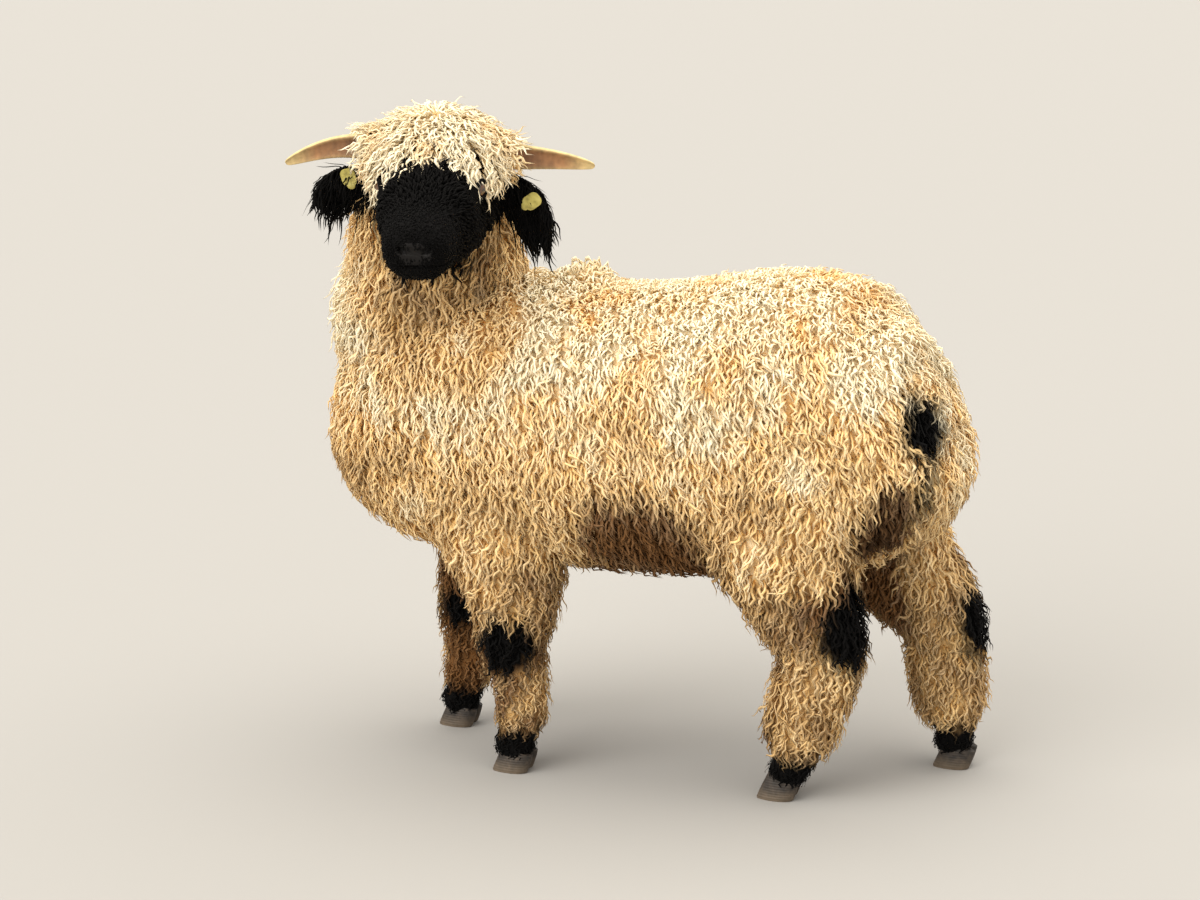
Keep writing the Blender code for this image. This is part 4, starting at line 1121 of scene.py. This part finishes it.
class Patch:
    """Collects the points of a patch of hide with what the coat needs to know at each."""

    def __init__(self, name):
        self.name = name
        self.points = []
        self.faces = []
        self.values = {key: [] for key in HIDE_VALUES + ("black", "soil")}
        self.vectors = {key: [] for key in HIDE_VECTORS}

    def add(self, point, out, lie, root_uv, length, lift, density, black=None, width=1.0):
        """Adds one point with its values."""
        self.points.append(point)
        self.vectors["out"].append(out)
        self.vectors["lie"].append(lie)
        self.vectors["root_uv"].append(Vector((*root_uv, 0.0)))
        self.values["length"].append(length)
        self.values["width"].append(width)
        self.values["lift"].append(lift)
        self.values["density"].append(density)
        self.values["black"].append(blackness_and_cleft_shadow(point) if black is None else black)
        self.values["soil"].append(soiling_and_shade(point))

    def mesh(self, columns, closed):
        """Mesh over points that were added row by row."""
        rows = len(self.points) // columns
        wide = columns if closed else columns - 1
        for i in range(rows - 1):
            for k in range(wide):
                n = (k + 1) % columns
                a, b = i * columns + k, i * columns + n
                self.faces.append((a, b, b + columns, a + columns))
        made = bpy.data.meshes.new(self.name)
        made.from_pydata(self.points, [], self.faces)
        paint_point_values(made, **self.values)
        for key, vectors in self.vectors.items():
            layer = made.attributes.new(key, "FLOAT_VECTOR", "POINT")
            layer.data.foreach_set("vector", [c for v in vectors for c in v])
        return made


def form_trees():
    """Search trees of the undercoat of each form, to keep locks off what is buried."""
    meshes = {name: loft(name, form, root_depth(name), 24, 24) for name, form in FORMS.items()}
    meshes["topknot"] = crown_ball()
    trees = {}
    for name, mesh in meshes.items():
        bm = bmesh.new()
        bm.from_mesh(mesh)
        trees[name] = BVHTree.FromBMesh(bm)
        bm.free()
    return trees


FORM_TREES = form_trees()


def is_buried(point, owner):
    """Whether a place lies more than a little inside another form than its own."""
    for name, tree in FORM_TREES.items():
        if name == owner:
            continue
        if tree.find_nearest(point)[3] < BURIED:
            continue
        hit, normal, _, _ = tree.ray_cast(point, UP)
        if hit and normal.z > 0:
            return True
    return False


def hanging(out, lean):
    """Direction in which wool hangs on a surface: down, led by a given lean."""
    way = Vector((0, 0, -1)) + lean
    flat = way - out * way.dot(out)
    return flat.normalized() if flat.length > 0.05 else Vector((1, 0, 0))


# Share of its width at which each row of a form's end cap lies
CAP_SHARES = (0.05, 0.35, 0.65, 0.9)


def form_patch(name, owner, times, angles, rows, columns, rule, kind=FLEECE):
    """Patch over part of a form; rule gives the lie, length, lift and density at a point."""
    form = FORMS[owner]
    root = root_depth(owner)
    patch = Patch(name)
    low, high = times
    first, last = (math.radians(angle) for angle in angles)
    places = [(low + (high - low) * i / rows, 1.0) for i in range(rows + 1)]
    if low == 0.0:
        places = [(0.0, share) for share in CAP_SHARES] + places
    if high == form.last and form.grow_end:
        places += [(form.last, share) for share in reversed(CAP_SHARES)]
    for t, share in places:
        for k in range(columns + 1):
            angle = first + (last - first) * k / columns
            point, centre, out = form.surface(t, angle, root)
            if share < 1.0:
                point = centre.lerp(point, share)
                end = form.point(form.last / 2, angle, root)
                out = (out * share + (centre - end).normalized()).normalized()
            depth = blend_rows(form.rows, t)[7] * (1 - root)
            lie, length, lift, density = rule(point, out, depth)
            if is_buried(point, owner):
                density = 0.0
            root_uv = (0.02 + 0.94 * (angle / (2 * math.pi) % 1.0), 0.02 + 0.94 * t / form.last)
            patch.add(point, out, lie, root_uv, length / kind["length"], lift / kind["lift"], density)
    return patch.mesh(columns + 1, closed=False)


def body_rule(point, out, depth):
    """Wool of the trunk: it parts along the back, hangs on the flanks and thins on the belly."""
    lean = Vector((0.30, 0, 0)) + Vector((0, math.copysign(0.5, point.y), 0)) * max(0.0, out.z)
    density = 0.60 if out.z < -0.6 else 1.0
    length = 0.036 if out.z < 0.55 else 0.028
    tuft = max(0.0, 1.0 - (point - WITHERS_TUFT).length / TUFT_RADIUS)
    return hanging(out, lean), length, depth * (1.0 + TUFT_LIFT * tuft), density


def neck_rule(point, out, depth):
    """Wool of the neck hangs straight."""
    return hanging(out, Vector((0, 0, 0))), 0.046, depth * 1.1, 1.0


def leg_rule(point, out, depth):
    """Wool of the legs hangs, shorter towards the foot."""
    length = min(0.044, 0.012 + 3.6 * depth)
    return hanging(out, Vector((0, 0, 0))), length, depth * 1.3, 1.0 if depth > 0.002 else 1.5


def jaw_rule(point, out, depth):
    """Wool behind the black of the face hangs from cheeks and jaw."""
    bare = blackness_and_cleft_shadow(point) > 0.45
    return hanging(out, -FACING * 0.3), 0.040, 0.012, 0.0 if bare else 1.0


TORSO_PIECES = (
    ("coat_flank_left_rear", (0.0, 5.0), (-62, 62)),
    ("coat_flank_left_front", (5.0, 10.0), (-62, 62)),
    ("coat_back_rear", (0.0, 5.0), (62, 118)),
    ("coat_back_front", (5.0, 10.0), (62, 118)),
    ("coat_flank_right_rear", (0.0, 5.0), (118, 242)),
    ("coat_flank_right_front", (5.0, 10.0), (118, 242)),
    ("coat_belly", (0.0, 10.0), (242, 298)),
)
BODY_DENSITY = 24000
CURL_DENSITY = 20000
LEG_DENSITY = 15000
JAW_DENSITY = 34000
TOPKNOT_DENSITY = 42000
HORN_WOOL_DENSITY = 45000
FACE_DENSITY = 42000
EAR_HAIR_DENSITY = 62000
EAR_STRAND_DENSITY = 9000


def make_body_coat():
    """Fleece of trunk, neck, tail and legs."""
    made = []
    for i, (name, times, angles) in enumerate(TORSO_PIECES):
        columns = max(12, int((angles[1] - angles[0]) / 4))
        patch = form_patch(name, "torso", times, angles, 40, columns, body_rule)
        made.append(grow_coat(name, patch, "fleece_lock", BODY_DENSITY, SEED + i))
    for i, (name, angles) in enumerate((("coat_neck_left", (-90, 90)), ("coat_neck_right", (90, 270)))):
        patch = form_patch(name, "neck", (0.3, 4.0), angles, 40, 40, neck_rule, CURL)
        made.append(grow_coat(name, patch, "curl_lock", CURL_DENSITY, SEED + 20 + i))
    for i, foot in enumerate(FEET):
        name = f"coat_leg_{foot}"
        patch = form_patch(name, f"leg_{foot}", (0.0, 8.6), (0, 360), 70, 40, leg_rule, CURL)
        made.append(grow_coat(name, patch, "curl_lock", LEG_DENSITY, SEED + 30 + i, gather_size=0.030))
    patch = form_patch("coat_tail", "tail", (0.2, 4.0), (0, 360), 20, 24, leg_rule, CURL)
    made.append(grow_coat("coat_tail", patch, "curl_lock", CURL_DENSITY, SEED + 40))
    patch = form_patch("coat_jaw", "head", (0.8, 3.2), (0, 360), 24, 48, jaw_rule, CURL)
    made.append(grow_coat("coat_jaw", patch, "curl_lock", JAW_DENSITY, SEED + 41))
    return made


def make_topknot():
    """Curly wool that falls from the crown over the forehead, the sides and the nape."""
    patch = Patch("coat_topknot")
    radii = TOPKNOT_ROOTS
    rows = 30
    columns = 48
    for i in range(rows + 1):
        polar = math.radians(2 + 112 * i / rows)
        for k in range(columns):
            angle = 2 * math.pi * k / columns
            way = (math.sin(polar) * math.cos(angle), math.sin(polar) * math.sin(angle), math.cos(polar))
            along = TOPKNOT_PLACE[0] + way[0] * radii[0]
            point = on_head(along, way[1] * radii[1], TOPKNOT_PLACE[1] + way[2] * radii[2])
            out = FACING * way[0] / radii[0] + HEAD_SIDE * way[1] / radii[1] + HEAD_RISE * way[2] / radii[2]
            out.normalize()
            lie = hanging(out, (FACING * way[0] + HEAD_SIDE * way[1]) * 0.9)
            low = way[2] < 0.25 * abs(way[1]) - 0.12 and way[0] > -0.3
            density = 0.0 if low or is_buried(point, "topknot") else 1.0
            root_uv = (0.5 + 0.45 * polar / 2 * math.cos(angle), 0.5 + 0.45 * polar / 2 * math.sin(angle))
            lift = TOPKNOT_DEPTH * (1 - ROOT_DEPTH) / CURL["lift"] * 1.2
            fringe = max(0.0, way[0]) * max(0.0, math.sin(polar) - 0.6) * 2.5
            temple = max(0.0, abs(way[1]) - 0.45) * max(0.0, 0.6 - way[2]) * 1.6
            length = 0.90 + fringe * (0.10 + 0.6 * abs(way[1])) - temple
            patch.add(point, out, lie, root_uv, length, lift, density, black=0.0)
    mesh = patch.mesh(columns, closed=True)
    settings = {"gather": 0.8, "gather_size": 0.03}
    return grow_coat("coat_topknot", mesh, "curl_lock", TOPKNOT_DENSITY, SEED + 50, **settings)


def make_horn_wool(sign, side):
    """Wool of the crown that spreads over the root of a horn."""
    patch = Patch(f"coat_horn_root_{side}")
    rows = 14
    columns = 20
    for i in range(rows + 1):
        f = HORN_WOOL * i / rows
        centre = horn_path(sign, f)
        radius = horn_radius(f) + 0.010 * (1 - f / HORN_WOOL)
        for k in range(columns):
            angle = 2 * math.pi * k / columns
            out = HEAD_RISE * math.sin(angle) + FACING * math.cos(angle)
            point = centre + out * radius
            away = HEAD_SIDE * sign * 0.9 + FACING * 0.2
            root_uv = (0.05 + 0.25 * k / columns + (0.5 if sign > 0 else 0.0), 0.05 + 0.3 * f)
            density = 1.0 if out.dot(HEAD_RISE) > -0.5 else 0.0
            patch.add(point, out, hanging(out, away), root_uv, 0.80, 0.6, density, black=0.0)
    mesh = patch.mesh(columns, closed=True)
    return grow_coat(patch.name, mesh, "curl_lock", HORN_WOOL_DENSITY, SEED + 52 + sign)


def make_face_fur():
    """Short black fur of the face, longer and curlier on cheeks and brow, cream at the jaw's back."""
    form = FORMS["head"]
    patch = Patch("fur_face")
    rows = 70
    columns = 64
    places = [(0.6 + (form.last - 0.6) * i / rows, 1.0) for i in range(rows + 1)]
    places += [(form.last, share) for share in reversed(CAP_SHARES)]
    for t, share in places:
        for k in range(columns):
            angle = 2 * math.pi * k / columns
            point, centre, out = form.surface(t, angle, FACE_DEPTH)
            if share < 1.0:
                point = centre.lerp(point, share)
                out = (out * share + FACING).normalized()
            place, across, lift = to_head(point)
            back = max(0.0, min(1.0, (0.215 - place) / 0.12))
            away, near_eye = min(
                ((point - eye_centre(sign), (point - eye_centre(sign)).length) for sign in (-1, 1)),
                key=lambda pair: pair[1],
            )
            open_eye = max(0.0, min(1.0, (near_eye - 0.020) / 0.035))
            length = 0.0045 + 0.021 * back * open_eye
            rise = 0.0017 + 0.0095 * back * open_eye
            width = 0.70 + 0.55 * back
            lean = -FACING * (1.2 - 0.7 * back) + Vector((0, 0, 0.4))
            lie = hanging(out, lean + away.normalized() * 2.0 * (1.0 - open_eye))
            density = 2.0 - back
            bare = near_eye < EYE_CLEARING or on_nose(place, across, lift)
            mouth = place > 0.195 and abs(lift - mouth_lift(place)) < 0.0030
            if bare or mouth or blackness_and_cleft_shadow(point) < 0.3 or is_buried(point, "head"):
                density = 0.0
            root_uv = (0.02 + 0.94 * k / columns, 0.02 + 0.94 * t / form.last)
            patch.add(
                point, out, lie, root_uv, length / FUR["length"], rise / FUR["lift"], density, width=width
            )
    mesh = patch.mesh(columns, closed=True)
    return grow_coat("fur_face", mesh, "fur_lock", FACE_DENSITY, SEED + 60, gather_size=0.022, tuft=0.5)


# Ears, eyes, horns, claws and tags

def ear_path(sign, f):
    """Middle line of an ear: out to the side, then drooping to the tip."""
    lift, reach, droop = EARS[sign]
    root = on_head(EAR_ROOT[0], sign * EAR_ROOT[1], lift)
    side = reach * math.sin(0.5 * math.pi * f * 0.92)
    down = Vector((0, 0, -1)) * droop * f * f
    return root + HEAD_SIDE * sign * side + down - FACING * 0.012 * f


def ear_frame(sign, f):
    """Centre, front, up, half width, hollow and thickness of an ear at a place along it."""
    centre = ear_path(sign, f)
    ahead = (ear_path(sign, min(1, f + STEP)) - ear_path(sign, max(0, f - STEP))).normalized()
    front = (FACING - ahead * FACING.dot(ahead)).normalized()
    up = ahead.cross(front).normalized()
    width = 0.012 + 0.014 * math.sin(math.pi * min(1.0, f * 0.85 + 0.12)) ** 0.8
    width *= 1.0 - 0.55 * max(0.0, f - 0.90) / 0.10
    hollow = 0.010 * math.sin(math.pi * (0.15 + 0.7 * f))
    thick = 0.0050 - 0.0015 * f
    return centre, front, up, width, hollow, thick


def make_ear(sign, side):
    """Leaf of an ear, hollowed to a cup that opens forward."""
    rings = []
    steps = 28
    arc = 12
    for i in range(steps + 1):
        centre, front, up, width, hollow, thick = ear_frame(sign, i / steps)
        ring = []
        for k in range(arc + 1):
            g = 2 * k / arc - 1
            depth = hollow * (1 - g * g) + thick * (1 - g * g * 0.6)
            ring.append(centre + up * width * g - front * depth)
        for k in range(arc + 1):
            g = 1 - 2 * k / arc
            depth = (hollow - thick * 0.4) * (1 - g * g)
            ring.append(centre + up * width * g * 0.96 - front * depth)
        rings.append(ring)
    mesh = smooth(mesh_from_rings(f"ear_leaf_{side}", rings))
    count = len(mesh.vertices)
    skin = {"black": 1.0, "soil": 0.2, "along": 0.2, "tone": 0.4}
    paint_point_values(mesh, **{key: [value] * count for key, value in skin.items()})
    leaf = new_object(f"ear_leaf_{side}", mesh)
    return dress(leaf, "black_wool", [f"ear_{side}"], UNDERCOAT)


def make_ear_hair(sign, side, strands=False):
    """Long black hair that hangs from an ear, or the few strands that hang longest."""
    patch = Patch(f"hair_ear_{side}")
    steps = 20
    arc = 8
    for i in range(steps + 1):
        f = i / steps
        centre, front, up, width, hollow, thick = ear_frame(sign, f)
        for face in (-1, 1):
            for k in range(arc + 1):
                g = (2 * k / arc - 1) * face
                depth = hollow * (1 - g * g) + (thick if face < 0 else -0.0004)
                point = centre + up * width * g - front * depth
                out = (front * face + up * g * 0.4).normalized()
                lie = hanging(out, HEAD_SIDE * sign * 0.15)
                reach = 1.25 if strands else 0.55 + 0.60 * noise.noise(point / 0.010)
                low = f > 0.35 and (centre - point).z > 0.004
                root_uv = (0.1 + 0.7 * f, 0.25 + 0.2 * face + 0.1 * g)
                density = 1.0 if low or not strands else 0.0
                patch.add(point, out, lie, root_uv, reach, 0.45, density, black=1.0)
    mesh = patch.mesh(2 * (arc + 1), closed=True)
    name, density, seed, settings = mesh.name, EAR_HAIR_DENSITY, SEED + 70 + sign, (0.06, 0.1, 0.15)
    if strands:
        name = f"strands_ear_{side}"
        density = EAR_STRAND_DENSITY
        seed = SEED + 80 + sign
        settings = (0.03, 0.0, 0.0)
    stray, gather, tuft = settings
    return grow_coat(name, mesh, "ear_hair", density, seed, stray=stray, gather=gather, tuft=tuft)


def make_eye(sign, side):
    """Eyeball with a bulging cornea, and its gaze stored for the iris and pupil."""
    out = eye_out(sign)
    level = (FACING - out * FACING.dot(out)).normalized()
    up = out.cross(level) * sign
    bm = bmesh.new()
    bmesh.ops.create_uvsphere(bm, u_segments=32, v_segments=24, radius=1.0)
    gazes = []
    for vertex in bm.verts:
        x, y, z = vertex.co
        bulge = 1.0 + 0.05 * max(0.0, z) ** 6
        gazes.extend((x, y, z))
        vertex.co = eye_centre(sign) + (level * x + up * y + out * z) * EYE_RADIUS * 0.97 * bulge
    mesh = bpy.data.meshes.new(f"eyeball_{side}")
    bmesh.ops.recalc_face_normals(bm, faces=bm.faces)
    bm.to_mesh(mesh)
    bm.free()
    layer = mesh.attributes.new("gaze", "FLOAT_VECTOR", "POINT")
    layer.data.foreach_set("vector", gazes)
    ball_piece = new_object(mesh.name, smooth(mesh))
    return dress(ball_piece, "eye", [f"eye_{side}"], GLASS_EYE)


def horn_path(sign, f):
    """Middle line of a horn: out to the side and back, drooping a little to its tip."""
    root = on_head(HORN_ROOT[0], sign * HORN_ROOT[1], HORN_ROOT[2])
    rise = (-0.004 if sign > 0 else 0.012) * math.sin(math.pi * f) - 0.020 * f * f
    back = -0.030 * math.sin(0.5 * math.pi * f) + 0.018 * f * f
    return root + HEAD_SIDE * sign * HORN_REACH * f + HEAD_RISE * rise + FACING * back


def horn_radius(f):
    """Half the height of a horn, which is blunt and narrows towards its tip."""
    return 0.0235 * (1 - f) ** 0.50 + 0.0020


def make_horn(sign, side):
    """Horn with ridges round its root and a hollow along its front."""
    points = []
    radii = []
    count = 90
    for k in range(count + 1):
        f = k / count
        points.append(horn_path(sign, f))
        ridge = 0.012 * (1 - f) * math.sin(2 * math.pi * f * 20)
        ripple = 0.008 * math.sin(2 * math.pi * f * 53)
        radii.append(horn_radius(f) * (1.0 + ridge + ripple))
    mesh = tube(f"horn_shell_{side}", points, radii, sides=32, flat=0.62, side=HEAD_RISE)
    root = horn_path(sign, 0.0)
    reach = []
    height = []
    for vertex in mesh.vertices:
        f = min(1.0, max(0.0, (vertex.co - root).dot(HEAD_SIDE) * sign / HORN_REACH))
        offset = vertex.co - horn_path(sign, f)
        level = min(1.0, abs(offset.dot(HEAD_RISE)) / horn_radius(f))
        ahead = offset.dot(FACING)
        if ahead > 0:
            vertex.co -= FACING * ahead * 0.95 * (1 - level ** 3)
            height.append(level)
        else:
            height.append(1.0)
        reach.append(f)
    # The edge value is 0 in the middle of the front hollow and 1 at its top and bottom edges and on the
    # back, where the material paints a pale highlight
    paint_point_values(mesh, along=reach, edge=height)
    shell = new_object(mesh.name, smooth(mesh))
    return dress(shell, "horn", [f"horn_{side}"], HORN_KERATIN)


def make_claw(name, side, sign):
    """One claw of a hoof: a flat sole, a sloping ringed wall and a rounded heel."""
    foot_x, foot_y = FEET[name]
    toe = foot_x - 0.012 - CLAW_LENGTH * 0.58
    middle = foot_y + sign * CLAW_SPREAD
    rings = []
    count = 32
    levels = 14
    for i in range(levels + 1):
        g = i / levels
        height = CLAW_HEIGHT * g
        scale = 1.0 - 0.04 * g - 0.12 * g * g
        scale *= 0.94 if i == 0 else 1.0
        scale *= 1.0 + 0.006 * math.sin(2 * math.pi * g * 6)
        ring = []
        for k in range(count):
            c = math.cos(2 * math.pi * k / count)
            s = math.sin(2 * math.pi * k / count)
            x = toe + CLAW_LENGTH * 0.5 * (1 + c * scale) + 0.014 * g
            y = middle + 0.5 * CLAW_WIDTH * s * (1.0 + 0.28 * c) * scale
            ring.append(Vector((x, y, height - 0.012 * g * (1 + c) / 2)))
        rings.append(ring)
    mesh = smooth(mesh_from_rings(f"hoof_{name}_{side}", rings))
    mesh.set_sharp_from_angle(angle=math.radians(60))
    shell = new_object(mesh.name, mesh)
    return dress(shell, "hoof", [f"claw_{name}_{side}"], HOOF_HORN)


def rounded_plate(centre, axes, size, thickness, corner):
    """Plate with rounded corners and edges."""
    x, y, z = axes
    bm = bmesh.new()
    ring = []
    for quadrant, (sx, sy) in enumerate(((1, 1), (-1, 1), (-1, -1), (1, -1))):
        for k in range(6):
            angle = math.radians(90 * quadrant + 18 * k)
            px = sx * (size[0] / 2 - corner) + corner * math.cos(angle)
            py = sy * (size[1] / 2 - corner) + corner * math.sin(angle)
            ring.append(bm.verts.new(centre + x * px + y * py))
    face = bm.faces.new(ring)
    raised = bmesh.ops.extrude_face_region(bm, geom=[face])
    top = [item for item in raised["geom"] if isinstance(item, bmesh.types.BMVert)]
    bmesh.ops.translate(bm, verts=top, vec=z * thickness)
    edges = [edge for edge in bm.edges if len({v in top for v in edge.verts}) == 1]
    bmesh.ops.bevel(bm, geom=edges, offset=thickness * 0.25, segments=2, affect="EDGES")
    return closed_mesh("plate", bm)


def make_tag(sign, side):
    """Bare ear tag: a plate in front, a pin through the ear and a button behind."""
    f = 0.62 if sign > 0 else 0.42
    centre = ear_path(sign, f)
    ahead = (ear_path(sign, f + STEP) - ear_path(sign, f - STEP)).normalized()
    front = (FACING - ahead * FACING.dot(ahead)).normalized()
    up = ahead.cross(front).normalized() * sign
    face = centre + front * 0.012
    axes = (ahead * sign, up, front)
    plate = rounded_plate(face - up * 0.0135, axes, (0.023, 0.029), 0.0022, 0.009)
    raised = [face + front * d for d in (0.0, 0.0022, 0.0030)]
    disc = tube("disc", raised, [0.0062, 0.0062, 0.0048], sides=28)
    stem = tube("stem", [face + front * 0.001, centre - front * 0.026], [0.0030, 0.0030], sides=16)
    back = [centre - front * d for d in (0.0225, 0.0232, 0.0258, 0.0265)]
    button = tube("button", back, [0.0092, 0.0100, 0.0092, 0.0060], sides=28)
    mesh = joined(f"tag_{side}", [plate, disc, stem, button])
    piece = new_object(mesh.name, smooth(mesh))
    piece.data.set_sharp_from_angle(angle=math.radians(35))
    return dress(piece, "ear_tag", [f"ear_tag_{side}"], TAG_PLASTIC)


# Making

make_hide()
coats = make_body_coat() + [make_topknot(), make_face_fur()]
for side, sign in (("left", 1), ("right", -1)):
    coats.append(make_horn_wool(sign, side))
    coats.append(make_ear_hair(sign, side))
    coats.append(make_ear_hair(sign, side, strands=True))
for coat in coats:
    dress(coat, "black_wool" if coat.name.startswith(("hair", "fur", "strands")) else "fleece", [])
for side, sign in (("left", 1), ("right", -1)):
    make_ear(sign, side)
    make_eye(sign, side)
    make_horn(sign, side)
    make_tag(sign, side)
for name in FEET:
    for side, sign in (("inner", -1), ("outer", 1)):
        make_claw(name, side, math.copysign(1.0, FEET[name][1]) * sign)


# Floor, lights and camera

def make_floor():
    """Plain pale floor, wide enough to fill the picture behind the sheep."""
    mesh = bpy.data.meshes.new("floor")
    corners = [(-FLOOR_REACH, -FLOOR_REACH), (FLOOR_REACH, -FLOOR_REACH)]
    corners += [(FLOOR_REACH, FLOOR_REACH), (-FLOOR_REACH, FLOOR_REACH)]
    mesh.from_pydata([(x, y, 0.0) for x, y in corners], [], [(0, 1, 2, 3)])
    floor = new_object("floor", mesh)
    floor.data.materials.append(studio_floor())


def soft_light(name, way, spread, strength, colour):
    """Wide even light from far away, which reaches the sheep along a way."""
    lamp = bpy.data.lights.new(name, "SUN")
    lamp.angle = math.radians(spread)
    lamp.energy = strength
    lamp.color = linear(colour)[:3]
    made = bpy.data.objects.new(name, lamp)
    made.rotation_mode = "QUATERNION"
    made.rotation_quaternion = Vector(way).to_track_quat("-Z", "Y")
    bpy.context.scene.collection.objects.link(made)


def make_lights():
    """Soft daylight studio: a wide light overhead, a weaker one in front and an even sky."""
    soft_light("overhead", (-0.10, 0.05, -1.0), 75.0, 3.0, "fffaf0")
    soft_light("front", (0.45, 0.80, -0.55), 50.0, 2.1, "fffcf6")
    world = bpy.data.worlds.new("studio")
    world.use_nodes = True
    sky = world.node_tree.nodes["Background"]
    sky.inputs["Color"].default_value = linear("fdf8f0")
    sky.inputs["Strength"].default_value = 0.85
    bpy.context.scene.world = world


FLOOR_REACH = 80.0
CAMERA_AZIMUTH = 16.0
CAMERA_RISE = 12.0
CAMERA_DISTANCE = 4.10
CAMERA_LENS = 78.0
CAMERA_TARGET = Vector((-0.05, 0.0, 0.505))


def make_view():
    """Plain display colours, as a camera without grading has them."""
    bpy.context.scene.view_settings.view_transform = "Standard"


def make_camera():
    """Camera at the photograph's viewing angle."""
    data = bpy.data.cameras.new("camera")
    data.sensor_width = 36.0
    data.lens = CAMERA_LENS
    made = bpy.data.objects.new("camera", data)
    azimuth = math.radians(CAMERA_AZIMUTH)
    rise = math.radians(CAMERA_RISE)
    level = math.cos(rise)
    back = Vector((math.sin(azimuth) * level, -math.cos(azimuth) * level, math.sin(rise)))
    made.location = CAMERA_TARGET + SHIFT + back * CAMERA_DISTANCE
    made.rotation_mode = "QUATERNION"
    made.rotation_quaternion = (-back).to_track_quat("-Z", "Y")
    bpy.context.scene.collection.objects.link(made)
    bpy.context.scene.camera = made


make_floor()
make_lights()
make_camera()
make_view()
